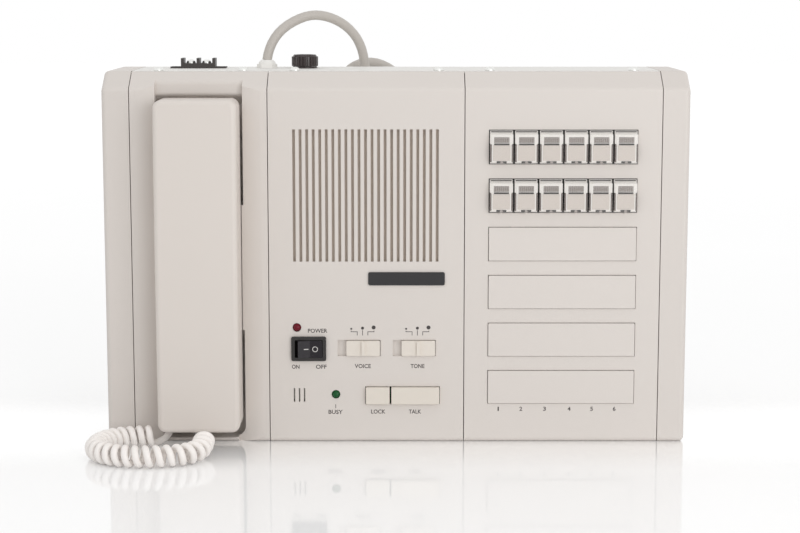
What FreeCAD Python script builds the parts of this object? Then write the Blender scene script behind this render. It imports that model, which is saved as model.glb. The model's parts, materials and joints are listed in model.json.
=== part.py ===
import FreeCAD, Part
import math
import os

# Intercom dispatch console, standing upright on its lower edge.
# Millimetres. X runs to the right, Y to the back, Z up.
# The origin is the middle of the standing face, under the front and the back edge.

V = FreeCAD.Vector

# Case
CAP_WIDTH = 16.5
CRADLE_WIDTH = 82.0
MODULE_WIDTH = 117.5
HEIGHT = 224.0
DEPTH_BOTTOM = 52.0
DEPTH_TOP = 84.0
BEVEL_DEEP = 15.0
BEVEL_HIGH = 10.0
SHOULDER_R = 3.5
TOE_R = 3.0
CAP_EDGE_R = 3.0
WALL = 2.5
SEAM = 0.5
SKIRT_WALL = 1.6
SKIRT_DEEP = 12.0
SKIRT_REACH = 28.0
LIP_REACH = 10.0

# Sheet metal
SHEET = 1.5
SHEET_BEND = 2.0
LOWER_FLANGE = 16.0
SIDE_FLANGE = 14.0
VENTS = 8
VENT_R = 1.5
VENT_LONG = 34.0
VENT_PITCH = 8.0
VENT_INSET = 30.0
VENT_BELOW_SHOULDER = 75.0

# Clearances
TOUCH = 0.1
FIT = 0.3
SLIDE_FIT = 0.35

# Handset and its cradle
HANDSET_WIDTH = 48.9
HANDSET_BELOW_TOP = 15.5
HANDSET_LIFT = 10.5
HANDSET_PROUD = 23.0
HANDSET_SPLIT = 9.0
HANDLE_SUNK = 3.0
HANDSET_CORNER_R = 5.0
HANDSET_EDGE_R = 3.0
HANDSET_BULGE = 2.0
HANDSET_WALL = 2.2
CUP_SUNK = 14.0
CUP_WIDTH = 45.0
CUP_CORNER_R = 8.0
CUP_EDGE_R = 2.0
RECEIVER_R = 15.0
RECEIVER_DEEP = 10.0
TRANSMITTER_R = 13.0
TRANSMITTER_DEEP = 7.0
EAR_HOLES = 6
EAR_HOLE_RING = 6.0
EAR_HOLE_R = 1.2
MOUTH_HOLES = 4
MOUTH_HOLE_RING = 5.0
MOUTH_HOLE_R = 1.0
EAR_CUP_LONG = 57.8
EAR_CUP_BELOW_TOP = 6.0
MOUTH_CUP_LONG = 40.0
MOUTH_CUP_ABOVE_END = 5.0
MOUTH_CUP_SLOPE = 11.0
CRADLE_SIDE_GAP = 1.6
BRIDGE_SIDE_GAP = 0.5
CRADLE_CORNER_R = 7.0
CUP_FLOOR_GAP = 2.0
HANDLE_FLOOR_GAP = 2.0
SCOOP_DEEP = 9.4
SCOOP_STEP = 5.7
SCOOP_R = 5.0
ROLL_R = 38.0
ROLL_HALF = 39.0
ROLL_BITE = 0.05
HOOK_R = 4.0
HOOK_COLLAR = 1.5
HOOK_STROKE = 3.0
HOOK_NECK_LONG = 9.0
HOOK_SWITCH_WIDE = 20.0
HOOK_SWITCH_HIGH = 16.0
HOOK_SWITCH_DEEP = 15.0

# Speaker grille
GRILLE_SLOTS = 23
GRILLE_PITCH = 3.89
GRILLE_SLOT_WIDTH = 1.7
GRILLE_BELOW_TOP = 34.0
GRILLE_LONG = 79.4
GRILLE_SHIFT = -0.4
CLOTH = 0.4
CLOTH_MARGIN = 2.0
SPEAKER_R = 38.5
SPEAKER_RIM = 5.0
SPEAKER_RIM_THICK = 1.2
SPEAKER_DEEP = 26.0
MAGNET_R = 22.0
CLAMP_SIDE = 12.0
CLAMP_CLEAR = 4.2
CLAMP_SHEET = 1.2
CLAMP_WIDE = 6.0
CLAMP_HEAD_R = 1.7

# Controls on the speaker module, measured from its left edge
LED_R = 2.5
POWER_LED_X = 16.7
POWER_LED_Z = 70.5
BUSY_LED_X = 40.1
BUSY_LED_Z = 29.4
ROCKER_X = 23.8
ROCKER_Z = 57.6
BEZEL_WIDE = 21.0
BEZEL_HIGH = 14.8
BEZEL_PROUD = 1.8
ROCKER_WIDE = 16.2
ROCKER_HIGH = 10.2
ROCKER_TILT = 7.0
POWER_SWITCH_DEEP = 13.0
ROCKER_DEEP = 7.5
BLADE_PITCH = 6.5
SLIDER_Z = 57.9
VOICE_X = 56.7
TONE_X = 90.0
SLIDER_WIDE = 20.2
SLIDER_HIGH = 9.2
SLIDER_TRAVEL = 5.0
SLIDER_PROUD = 1.6
RIDGE_WIDE = 2.0
RIDGE_PROUD = 1.4
POCKET_DEEP = 2.0
STEM = 3.6
SLIDE_SWITCH_WIDE = 19.0
SLIDE_SWITCH_HIGH = 9.0
SLIDE_SWITCH_DEEP = 8.2
SLIDE_SLOT_DEEP = 2.7
MIC_X = 18.0
MIC_Z = 29.0
MIC_PITCH = 3.05
MIC_SLOT_WIDE = 0.9
MIC_SLOT_LONG = 8.4
MIC_R = 4.8
MIC_DEEP = 7.0
BOOT_WALL = 2.0
KEYS_Z = 28.8
LOCK_X = 58.2
LOCK_WIDE = 14.4
TALK_WIDE = 29.1
KEY_GAP = 1.0
KEY_HIGH = 10.3
KEY_PROUD = 3.0
KEY_TRAVEL = 2.0
KEY_FLANGE = 1.2
KEY_EDGE_R = 0.45
KEY_STEM = 5.0
KEY_SWITCH_WIDE = 11.0
KEY_SWITCH_HIGH = 9.0
KEY_SWITCH_DEEP = 7.0
KEY_WELL_DEEP = 2.5

# Circuit boards behind the controls
BOARD = 1.6
BOARD_SET_BACK = 16.0
BOARD_EDGE = 5.0
AMPLIFIER_BOARD_BOTTOM = 14.0
AMPLIFIER_BOARD_TOP = 82.0
POST_R = 3.0
POST_HOLE_R = 1.35
CAPACITOR_R = 5.0
CAPACITOR_PITCH = 13.0
TRANSFORMER_WIDE = 18.0
TRANSFORMER_HIGH = 16.0
HEAT_SINK_WIDE = 30.0
HEAT_SINK_HIGH = 24.0
HEAT_SINK_FINS = 6

# Selector rows
ROWS = 6
KEY_ROWS = 2
KEYS_PER_ROW = 6
TOP_ROW_BELOW_TOP = 44.5
BOTTOM_ROW_Z = 34.0
SELECTOR_PITCH = 14.8
SELECTOR_KEY_WIDE = 14.2
SELECTOR_KEY_HIGH = 20.0
SELECTOR_PROUD = 5.0
SELECTOR_TRAVEL = 2.5
SELECTOR_STEM_WIDE = 12.0
SELECTOR_STEM_HIGH = 17.0
SELECTOR_STEM_LONG = 13.0
SELECTOR_WINDOW_WIDE = 9.2
SELECTOR_LABEL_WIDE = 10.6
SELECTOR_LABEL_HIGH = 8.8
SELECTOR_NOTCH_WIDE = 6.0
PLATE_PROUD = 0.8
PLATE_THICK = 2.3
PLATE_CATCH_WIDE = 8.0
BANK_RIM = 3.0
BANK_LEDGE = 1.5
BANK_FLOOR = 1.4
CHIP_WIDE = 20.0
CHIP_HIGH = 7.5
CHIP_PITCH = 26.0
HEADER_WIDE = 40.0
HEADER_HIGH = 8.0

# Screws and feet
SCREW_R = 1.5
SCREW_HEAD_R = 3.0
SCREW_HEAD_HIGH = 2.2
SCREW_LONG = 8.0
SCREW_HOLE_R = 1.7
SCREW_TIP_ROOM = 0.5
COVER_SCREW_INSET = 15.5
COVER_SCREW_BACK = 5.0
FOOT_R = 8.0
FOOT_TIP_R = 6.5
FOOT_HIGH = 5.0
FOOT_SIDE = 45.0
FOOT_INSET_LOW = 24.0
FOOT_INSET_HIGH = 26.0
CAP_SCREW_INSET_LOW = 45.0
CAP_SCREW_INSET_HIGH = 39.0
TAB_INSET = 30.0
TAB_WIDE = 10.0
TAB_THICK = 2.0
TAB_HOOK = 2.5

# Connections on the rear panel, measured from the left edge of the cradle module
PANEL_ROW_BACK = 43.0
TERMINAL_X = 35.9
TERMINAL_LONG = 34.4
TERMINAL_DEEP = 11.0
TERMINAL_PITCH = 9.7
TERMINAL_BASE = 3.0
TERMINAL_WALL = 1.8
TERMINAL_WALL_HIGH = 6.2
TERMINAL_TAG_LONG = 8.0
GLAND_X = 78.3
GLAND_R = 6.5
GLAND_HIGH = 5.0
GLAND_THREAD_LONG = 8.0
FUSE_X = 101.8
FUSE_CAP_R = 8.2
FUSE_CAP_HIGH = 7.0
FUSE_RIBS = 24
FUSE_BODY_R = 6.0
FUSE_BODY_LONG = 28.0
FUSE_STEM_LONG = 12.0

# Modular cord plugs
PLUG_WIDE = 7.6
PLUG_THICK = 6.4
PLUG_LONG = 12.0
PLUG_OUT = 2.3
CRADLE_PLUG_OUT = 5.0
CRADLE_PLUG_INSET = 6.5
CRADLE_PLUG_LIFT = 1.9
JACK_WALL = 1.6

# Cords
STATION_R = 3.0
CURL_WIRE_R = 1.8
CURL_OUTER_R = 6.5
CURL_TIGHT = 5.4
CURL_STRETCHED = 6.2
FLOOR_CLEAR = 0.1
COIL_TURNS = 3
COIL_PITCH = 7.5
COIL_RISE = 6.8
COIL_INNER_R = 24.0
COIL_X = 0.0
COIL_Y = 141.0
COIL_LEAD = 6.0
COIL_TAIL_SHIFT = 1.5
COIL_TAIL_LONG = 26.0
STATION_PLUG_Z = 8.3
STATION_PLUG_WIDE = 16.0
STATION_PLUG_LONG = 68.0
STATION_PLUG_DEEP = 34.0
STATION_PLUG_CORNER_R = 8.0
STATION_PLUG_EDGE_R = 1.5
CONNECTOR_DEEP = 7.0
CONNECTOR_THICK = 11.0
CONNECTOR_WALL = 2.0
SLEEVE_R = 4.8
SLEEVE_LONG = 10.0

# Derived places
WIDTH = 2 * CAP_WIDTH + CRADLE_WIDTH + 2 * MODULE_WIDTH
X_LEFT = -WIDTH / 2
X_CRADLE = X_LEFT + CAP_WIDTH
X_SPEAKER = X_CRADLE + CRADLE_WIDTH
X_SELECTOR = X_SPEAKER + MODULE_WIDTH
X_RIGHT = X_SELECTOR + MODULE_WIDTH
MODULES = [(X_CRADLE, X_SPEAKER), (X_SPEAKER, X_SELECTOR), (X_SELECTOR, X_RIGHT)]
FACE_Y = -DEPTH_BOTTOM / 2
BASE_BACK_Y = DEPTH_BOTTOM / 2
NOSE_Y = FACE_Y + BEVEL_DEEP
SHOULDER_Z = HEIGHT - BEVEL_HIGH
LIP_Z = HEIGHT - SHEET - TOUCH
BACK_LEAN = math.atan2(DEPTH_TOP - DEPTH_BOTTOM, HEIGHT)
BACK_T = SHEET / math.cos(BACK_LEAN)
BOARD_Y = FACE_Y + BOARD_SET_BACK
PANEL_ROW_Y = NOSE_Y + PANEL_ROW_BACK
TOP_ROW_Z = HEIGHT - TOP_ROW_BELOW_TOP
ROW_PITCH = (TOP_ROW_Z - BOTTOM_ROW_Z) / (ROWS - 1)
FLANGE_Z = WALL + TOUCH
FLANGE_FRONT_Y = BASE_BACK_Y - LOWER_FLANGE
TAB_Y = FLANGE_FRONT_Y + 4 * TAB_THICK
CRADLE_X = (X_CRADLE + X_SPEAKER) / 2
CURL_R = CURL_OUTER_R - CURL_WIRE_R
SCREW_Y = NOSE_Y + COVER_SCREW_BACK


def back_y(z):
    return BASE_BACK_Y + (DEPTH_TOP - DEPTH_BOTTOM) * z / HEIGHT


def bevel_shift(inset):
    return inset * math.hypot(BEVEL_DEEP, BEVEL_HIGH) / BEVEL_HIGH


def bevel_y(z, inset):
    return FACE_Y + (z - SHOULDER_Z) * BEVEL_DEEP / BEVEL_HIGH + bevel_shift(inset)


def bevel_z(y, inset):
    return SHOULDER_Z + (y - FACE_Y - bevel_shift(inset)) * BEVEL_HIGH / BEVEL_DEEP


def box(x0, x1, y0, y1, z0, z1):
    return Part.makeBox(x1 - x0, y1 - y0, z1 - z0, V(x0, y0, z0))


def block(x, y0, y1, z, wide, high):
    return box(x - wide / 2, x + wide / 2, y0, y1, z - high / 2, z + high / 2)


def rod_y(x, z, r, y0, y1):
    return Part.makeCylinder(r, y1 - y0, V(x, y0, z), V(0, 1, 0))


def rod_z(x, y, r, z0, z1):
    return Part.makeCylinder(r, z1 - z0, V(x, y, z0), V(0, 0, 1))


def fuse(shapes):
    return shapes[0].multiFuse(shapes[1:]).removeSplitter()


def rounded_wire(corners):
    """A closed wire through (point, radius) corners, with a tangent arc at each corner that has a radius."""
    ends = []
    for i, (p, r) in enumerate(corners):
        before = corners[i - 1][0] - p
        after = corners[(i + 1) % len(corners)][0] - p
        before.normalize()
        after.normalize()
        if r == 0:
            ends.append((p, None, p))
            continue
        half = before.getAngle(after) / 2
        bisector = before + after
        bisector.normalize()
        start = p + before * (r / math.tan(half))
        end = p + after * (r / math.tan(half))
        middle = p + bisector * (r / math.sin(half) - r)
        ends.append((start, middle, end))
    edges = []
    for i, (start, middle, end) in enumerate(ends):
        if middle is not None:
            edges.append(Part.Arc(start, middle, end).toShape())
        following = ends[(i + 1) % len(ends)][0]
        if end.distanceToPoint(following) > 1e-6:
            edges.append(Part.makeLine(end, following))
    return Part.Wire(edges)


def side_prism(outline, x0, x1):
    """Extrudes a side view, given as (y, z) or (y, z, corner radius), from x0 to x1."""
    corners = [(V(x0, c[0], c[1]), c[2] if len(c) > 2 else 0) for c in outline]
    return Part.Face(rounded_wire(corners)).extrude(V(x1 - x0, 0, 0))


def front_prism(outline, y0, y1):
    """Extrudes a front view, given as (x, z) or (x, z, corner radius), from y0 to y1."""
    corners = [(V(c[0], y0, c[1]), c[2] if len(c) > 2 else 0) for c in outline]
    return Part.Face(rounded_wire(corners)).extrude(V(0, y1 - y0, 0))


def plan_prism(outline, z0, z1):
    """Extrudes a plan view, given as (x, y) or (x, y, corner radius), from z0 to z1."""
    corners = [(V(c[0], c[1], z0), c[2] if len(c) > 2 else 0) for c in outline]
    return Part.Face(rounded_wire(corners)).extrude(V(0, 0, z1 - z0))


def rounded_slab(x, z, wide, high, r, y0, y1):
    left = x - wide / 2
    right = x + wide / 2
    low = z - high / 2
    top = z + high / 2
    return front_prism([(left, low, r), (right, low, r), (right, top, r), (left, top, r)], y0, y1)


def revolved(profile, centre, axis, across):
    """Turns a half profile of (radius, distance along the axis) points round the axis."""
    points = [centre + across * r + axis * a for r, a in profile]
    face = Part.Face(Part.makePolygon(points + [points[0]]))
    return face.revolve(centre, axis, 360)


def placed(shape, at, direction):
    turned = shape.copy()
    turn = FreeCAD.Placement(at, FreeCAD.Rotation(V(0, 0, 1), direction))
    turned.Placement = turn.multiply(shape.Placement)
    return turned


def save(name, *solids):
    shape = solids[0] if len(solids) == 1 else Part.makeCompound(list(solids))
    for solid in shape.Solids:
        if not solid.isValid() or solid.Volume <= 0:
            print("not a sound solid:", name)
    shape.exportStep("parts/" + name + ".step")
    print(f"{name}: {len(shape.Solids)} solids, {shape.Volume / 1000:.2f} cm3")


# Moulded covers

def wall_band(x0, x1, wall, front_wall, rear):
    """The moulded wall as seen from the side: floor, front, bevel and the lip under the rear panel."""
    outline = [
        (rear, 0),
        (FACE_Y, 0, TOE_R),
        (FACE_Y, SHOULDER_Z, SHOULDER_R),
        (NOSE_Y, HEIGHT, SEAM),
        (NOSE_Y, LIP_Z),
        (NOSE_Y + LIP_REACH, LIP_Z),
        (NOSE_Y + LIP_REACH, LIP_Z - wall),
        (bevel_y(LIP_Z - wall, wall), LIP_Z - wall),
        (FACE_Y + front_wall, bevel_z(FACE_Y + front_wall, wall)),
        (FACE_Y + front_wall, wall),
        (rear, wall),
    ]
    return side_prism(outline, x0, x1)


def cover_screw_places(x0, x1):
    return [x0 + COVER_SCREW_INSET, x1 - COVER_SCREW_INSET]


def tab_places(x0, x1):
    return [x0 + TAB_INSET, x1 - TAB_INSET]


def cover_tab(x):
    """A tab on the cover's floor that goes up through a slot in the chassis flange and hooks over it."""
    over = FLANGE_Z + SHEET + FIT
    stem = box(x - TAB_WIDE / 2, x + TAB_WIDE / 2, TAB_Y, TAB_Y + TAB_THICK, WALL / 2, over + TAB_THICK)
    hook = box(x - TAB_WIDE / 2, x + TAB_WIDE / 2, TAB_Y, TAB_Y + TAB_THICK + TAB_HOOK, over,
        over + TAB_THICK)
    return stem.fuse(hook)


def cover_shell(x0, x1, front_wall):
    """One module's cover: the wall band, a skirt along each side, screw bosses under the lip, two tabs."""
    left = x0 + SEAM / 2
    right = x1 - SEAM / 2
    skirt_rear = FACE_Y + SKIRT_REACH
    pieces = [
        wall_band(left, right, WALL, front_wall, BASE_BACK_Y),
        wall_band(left, left + SKIRT_WALL, SKIRT_DEEP, SKIRT_DEEP, skirt_rear),
        wall_band(right - SKIRT_WALL, right, SKIRT_DEEP, SKIRT_DEEP, skirt_rear),
    ]
    pieces += [cover_tab(x) for x in tab_places(x0, x1)]
    holes = []
    for x in cover_screw_places(x0, x1):
        pieces.append(rod_z(x, SCREW_Y, POST_R, LIP_Z - WALL - POST_R, LIP_Z - WALL / 2))
        holes.append(rod_z(x, SCREW_Y, SCREW_R + TOUCH, LIP_Z - SCREW_LONG, LIP_Z + 1))
    return fuse(pieces).cut(Part.makeCompound(holes))


def board_posts(places, y1):
    """Posts from a cover's inner face back to a circuit board, each with a screw hole."""
    posts = [rod_y(x, z, POST_R, FACE_Y + WALL / 2, y1) for x, z in places]
    holes = [rod_y(x, z, POST_HOLE_R + FIT, FACE_Y + WALL - SCREW_TIP_ROOM, y1 + 1) for x, z in places]
    return posts, holes


def board_corners(x0, x1, z0, z1):
    return [(x, z) for x in (x0 + BOARD_EDGE, x1 - BOARD_EDGE) for z in (z0 + BOARD_EDGE, z1 - BOARD_EDGE)]


# Cradle module

TROUGH_WIDE = HANDSET_WIDTH + 2 * CRADLE_SIDE_GAP
WELL_FLOOR_Y = FACE_Y + CUP_SUNK + CUP_FLOOR_GAP
BRIDGE_FLOOR_Y = FACE_Y + HANDLE_SUNK + HANDLE_FLOOR_GAP
HANDSET_TOP = HEIGHT - HANDSET_BELOW_TOP
EAR_CUP_TOP = HANDSET_TOP - EAR_CUP_BELOW_TOP
EAR_CUP_LOW = EAR_CUP_TOP - EAR_CUP_LONG
MOUTH_CUP_LOW = HANDSET_LIFT + MOUTH_CUP_ABOVE_END
MOUTH_CUP_TOP = MOUTH_CUP_LOW + MOUTH_CUP_LONG
LEDGE_Z = EAR_CUP_LOW - FIT
RAMP_LOW_Z = MOUTH_CUP_TOP + CUP_FLOOR_GAP
RAMP_TOP_Z = RAMP_LOW_Z + MOUTH_CUP_SLOPE + CUP_FLOOR_GAP
SCOOP_LOW_Z = EAR_CUP_TOP + CUP_FLOOR_GAP
OUTSIDE_Y = FACE_Y - 2 * HANDSET_PROUD


def trough_side(grow):
    """Side view of the trough: lower well, ramp, raised bridge, ledge, upper well and scoop."""
    scoop_y = WELL_FLOOR_Y + grow - SCOOP_DEEP
    corner_z = bevel_z(WELL_FLOOR_Y - SCOOP_DEEP, 0) - FIT
    return [
        (OUTSIDE_Y, WALL - grow),
        (WELL_FLOOR_Y + grow, WALL - grow),
        (WELL_FLOOR_Y + grow, RAMP_LOW_Z + grow),
        (BRIDGE_FLOOR_Y + grow, RAMP_TOP_Z + grow),
        (BRIDGE_FLOOR_Y + grow, LEDGE_Z - grow),
        (WELL_FLOOR_Y + grow, LEDGE_Z - grow),
        (WELL_FLOOR_Y + grow, SCOOP_LOW_Z + grow),
        (scoop_y, SCOOP_LOW_Z + SCOOP_STEP + grow, SCOOP_R / 2),
        (scoop_y, corner_z, SCOOP_R),
        (scoop_y + 2 * SCOOP_R, corner_z + 2 * SCOOP_R),
        (OUTSIDE_Y, corner_z + 2 * SCOOP_R),
    ]


def trough_block(grow):
    half = TROUGH_WIDE / 2 + grow
    body = side_prism(trough_side(grow), CRADLE_X - half, CRADLE_X + half)
    top = 2 * HEIGHT
    low = WALL - grow
    view = [
        (CRADLE_X - half, low, CRADLE_CORNER_R),
        (CRADLE_X + half, low, CRADLE_CORNER_R),
        (CRADLE_X + half, top),
        (CRADLE_X - half, top),
    ]
    body = body.common(front_prism(view, OUTSIDE_Y, WELL_FLOOR_Y + SCOOP_R + grow))
    if grow > 0:
        return body
    near = HANDSET_WIDTH / 2 + BRIDGE_SIDE_GAP
    low = RAMP_TOP_Z - CUP_FLOOR_GAP
    left = box(CRADLE_X - half - 1, CRADLE_X - near, OUTSIDE_Y, BRIDGE_FLOOR_Y + 1, low, LEDGE_Z)
    right = box(CRADLE_X + near, CRADLE_X + half + 1, OUTSIDE_Y, BRIDGE_FLOOR_Y + 1, low, LEDGE_Z)
    return body.cut(Part.makeCompound([left, right]))


def edge_roll(side):
    """What rolls the face over into the trough on one side: a block less a cylinder under the face."""
    near = HANDSET_WIDTH / 2 - WALL
    centre = CRADLE_X + side * (near + ROLL_HALF) / 2
    strip = block(centre, FACE_Y - 1, FACE_Y + 2 * WALL, HEIGHT / 2, ROLL_HALF - near, HEIGHT + 2)
    return strip.cut(rod_z(CRADLE_X + side * ROLL_HALF, FACE_Y + ROLL_R - ROLL_BITE, ROLL_R, -2, HEIGHT + 2))


def envelope():
    """Everything behind the front surface of the case, as a solid block."""
    outline = [
        (BASE_BACK_Y, 0),
        (FACE_Y, 0, TOE_R),
        (FACE_Y, SHOULDER_Z, SHOULDER_R),
        (NOSE_Y, HEIGHT, SEAM),
        (NOSE_Y, LIP_Z),
        (BASE_BACK_Y, LIP_Z),
    ]
    return side_prism(outline, X_CRADLE, X_SPEAKER)


def cradle_plug_hole(y0, y1):
    return block(CRADLE_PLUG_X, y0, y1, CRADLE_PLUG_Z, PLUG_WIDE + 2 * FIT, PLUG_THICK + 2 * FIT)


CRADLE_PLUG_X = CRADLE_X - TROUGH_WIDE / 2 + CRADLE_PLUG_INSET
CRADLE_PLUG_Z = WALL + CRADLE_PLUG_LIFT + PLUG_THICK / 2
HOOK_Z = (EAR_CUP_TOP + EAR_CUP_LOW) / 2


def cradle_cover():
    """The left module: its face rolls over softly into the trough that the handset lies in."""
    edge_depth = (ROLL_HALF - HANDSET_WIDTH / 2 - BRIDGE_SIDE_GAP) ** 2 / (2 * ROLL_R)
    shell = cover_shell(X_CRADLE, X_SPEAKER, WALL + edge_depth)
    walls = trough_block(WALL).common(envelope())
    cuts = [
        trough_block(0),
        edge_roll(-1),
        edge_roll(1),
        cradle_plug_hole(WELL_FLOOR_Y - 1, WELL_FLOOR_Y + WALL + 1),
        rod_y(CRADLE_X, HOOK_Z, HOOK_R + FIT, WELL_FLOOR_Y - 1, WELL_FLOOR_Y + WALL + 1),
    ]
    solid = fuse([shell, walls])
    for cut in cuts:
        solid = solid.cut(cut)
    save("cradle_cover", solid)


def hook_parts():
    """The hook switch behind the upper well, and the plunger that the earpiece holds in."""
    front = WELL_FLOOR_Y - CUP_FLOOR_GAP + FIT
    back = WELL_FLOOR_Y + WALL + TOUCH
    collar_back = back + HOOK_STROKE + HOOK_COLLAR + FIT
    neck_r = HOOK_R - 1
    stem = rod_y(CRADLE_X, HOOK_Z, HOOK_R, front, back + 1)
    collar = rod_y(CRADLE_X, HOOK_Z, HOOK_R + HOOK_COLLAR, back + HOOK_STROKE + FIT, collar_back)
    neck = rod_y(CRADLE_X, HOOK_Z, neck_r, back, back + HOOK_NECK_LONG)
    tip = stem.makeFillet(HOOK_R / 4, [e for e in stem.Edges if abs(e.BoundBox.YMax - front) < 0.01])
    save("hook_plunger", fuse([tip, neck, collar]))
    body = block(CRADLE_X, back, back + HOOK_SWITCH_DEEP, HOOK_Z, HOOK_SWITCH_WIDE, HOOK_SWITCH_HIGH)
    well = rod_y(CRADLE_X, HOOK_Z, HOOK_R + HOOK_COLLAR + FIT, back - 1, collar_back + FIT)
    bore = rod_y(CRADLE_X, HOOK_Z, neck_r + FIT, back, back + HOOK_NECK_LONG + 1)
    save("hook_switch", body.cut(well).cut(bore))


def modular_plug(base, out, long, along):
    """A modular plug that points along +Y or +Z from its cord end at base."""
    x, y, z = base
    half_w = PLUG_WIDE / 2
    half_t = PLUG_THICK / 2
    if along == "y":
        body = box(x - half_w, x + half_w, y, y + long, z - half_t, z + half_t)
        latch = box(x - half_w / 2, x + half_w / 2, y + 1, y + out, z + half_t, z + half_t + FIT)
    else:
        body = box(x - half_w, x + half_w, y - half_t, y + half_t, z, z + long)
        latch = box(x - half_w / 2, x + half_w / 2, y + half_t, y + half_t + FIT, z + 1, z + out)
    return fuse([body, latch])


def cradle_jack_parts():
    """The handset cord's plug low in the trough, and the jack behind the trough's floor."""
    cord_y = WELL_FLOOR_Y - CRADLE_PLUG_OUT
    plug = modular_plug((CRADLE_PLUG_X, cord_y, CRADLE_PLUG_Z), CRADLE_PLUG_OUT, PLUG_LONG, "y")
    save("cradle_plug", plug)
    front = WELL_FLOOR_Y + WALL + TOUCH
    tip = cord_y + PLUG_LONG
    low = WALL + TOUCH
    half = PLUG_WIDE / 2 + FIT + JACK_WALL
    top = CRADLE_PLUG_Z + PLUG_THICK / 2 + FIT + JACK_WALL
    body = box(CRADLE_PLUG_X - half, CRADLE_PLUG_X + half, front, tip + FIT + JACK_WALL, low, top)
    socket = cradle_plug_hole(front - 1, tip + FIT)
    save("cradle_jack", body.cut(socket))


# Handset

HANDSET_FRONT_Y = FACE_Y - HANDSET_PROUD
HANDSET_SPLIT_Y = FACE_Y - HANDSET_SPLIT
HANDLE_BACK_Y = FACE_Y + HANDLE_SUNK
CUP_BACK_Y = FACE_Y + CUP_SUNK
HANDSET_PLUG_Y = (HANDSET_FRONT_Y + FACE_Y) / 2


def handset_slab(inset):
    """The handset's straight body, its front crowned a little along its length."""
    half = HANDSET_WIDTH / 2 - inset
    low = HANDSET_LIFT + inset
    top = HANDSET_TOP - inset
    front = HANDSET_FRONT_Y + inset
    back = HANDLE_BACK_Y - inset
    middle = (low + top) / 2
    crown = Part.Arc(
        V(CRADLE_X - half, front, low),
        V(CRADLE_X - half, front - HANDSET_BULGE, middle),
        V(CRADLE_X - half, front, top),
    ).toShape()
    rest = Part.makePolygon([
        V(CRADLE_X - half, front, top),
        V(CRADLE_X - half, back, top),
        V(CRADLE_X - half, back, low),
        V(CRADLE_X - half, front, low),
    ])
    side = Part.Face(Part.Wire([crown] + rest.Edges))
    return side.extrude(V(2 * half, 0, 0))


def cup(low, top, slope, inset):
    """An earpiece or mouthpiece cup behind the handle, sloped on its upper side if slope isn't 0."""
    back = CUP_BACK_Y - inset
    front = HANDLE_BACK_Y - HANDSET_EDGE_R
    z0 = low + inset
    z1 = top - inset
    side = [(front, z0), (back, z0), (back, z1), (HANDLE_BACK_Y, z1 + slope), (front, z1 + slope)]
    half = CUP_WIDTH / 2 - inset
    body = side_prism(side, CRADLE_X - half, CRADLE_X + half)
    r = CUP_CORNER_R - inset
    view = rounded_slab(CRADLE_X, (z0 + z1 + slope) / 2, 2 * half, z1 + slope - z0, r, front, back)
    body = body.common(view)
    if inset > 0:
        return body
    return body.makeFillet(CUP_EDGE_R, [e for e in body.Edges if e.BoundBox.YMin > back - 0.01])


def long_edges(shape, test):
    return [e for e in shape.Edges if test(e)]


def handset_outside():
    slab = handset_slab(0)
    ends = long_edges(slab, lambda e: e.BoundBox.YLength > 5 and e.BoundBox.ZLength < 0.01
                      and e.BoundBox.XLength < 0.01)
    slab = slab.makeFillet(HANDSET_CORNER_R, ends)
    split_line = HANDSET_SPLIT_Y
    rim = long_edges(slab, lambda e: e.BoundBox.YMax < split_line)
    slab = slab.makeFillet(HANDSET_EDGE_R, rim)
    ear = cup(EAR_CUP_LOW, EAR_CUP_TOP, 0, 0)
    mouth = cup(MOUTH_CUP_LOW, MOUTH_CUP_TOP, MOUTH_CUP_SLOPE, 0)
    return fuse([slab, ear, mouth])


def handset_inside():
    wall = HANDSET_WALL
    slab = handset_slab(wall)
    ear = cup(EAR_CUP_LOW, EAR_CUP_TOP, 0, wall)
    mouth = cup(MOUTH_CUP_LOW, MOUTH_CUP_TOP, MOUTH_CUP_SLOPE, wall)
    return fuse([slab, ear, mouth])


EAR_Z = (EAR_CUP_LOW + EAR_CUP_TOP) / 2
MOUTH_Z = (MOUTH_CUP_LOW + MOUTH_CUP_TOP) / 2


def sound_holes(z, ring, count, r):
    """A middle hole and a ring of holes through the back of a cup."""
    y0 = CUP_BACK_Y - HANDSET_WALL - 1
    y1 = CUP_BACK_Y + 1
    holes = [rod_y(CRADLE_X, z, r, y0, y1)]
    for k in range(count):
        a = 2 * math.pi * k / count
        holes.append(rod_y(CRADLE_X + ring * math.cos(a), z + ring * math.sin(a), r, y0, y1))
    return holes


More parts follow.
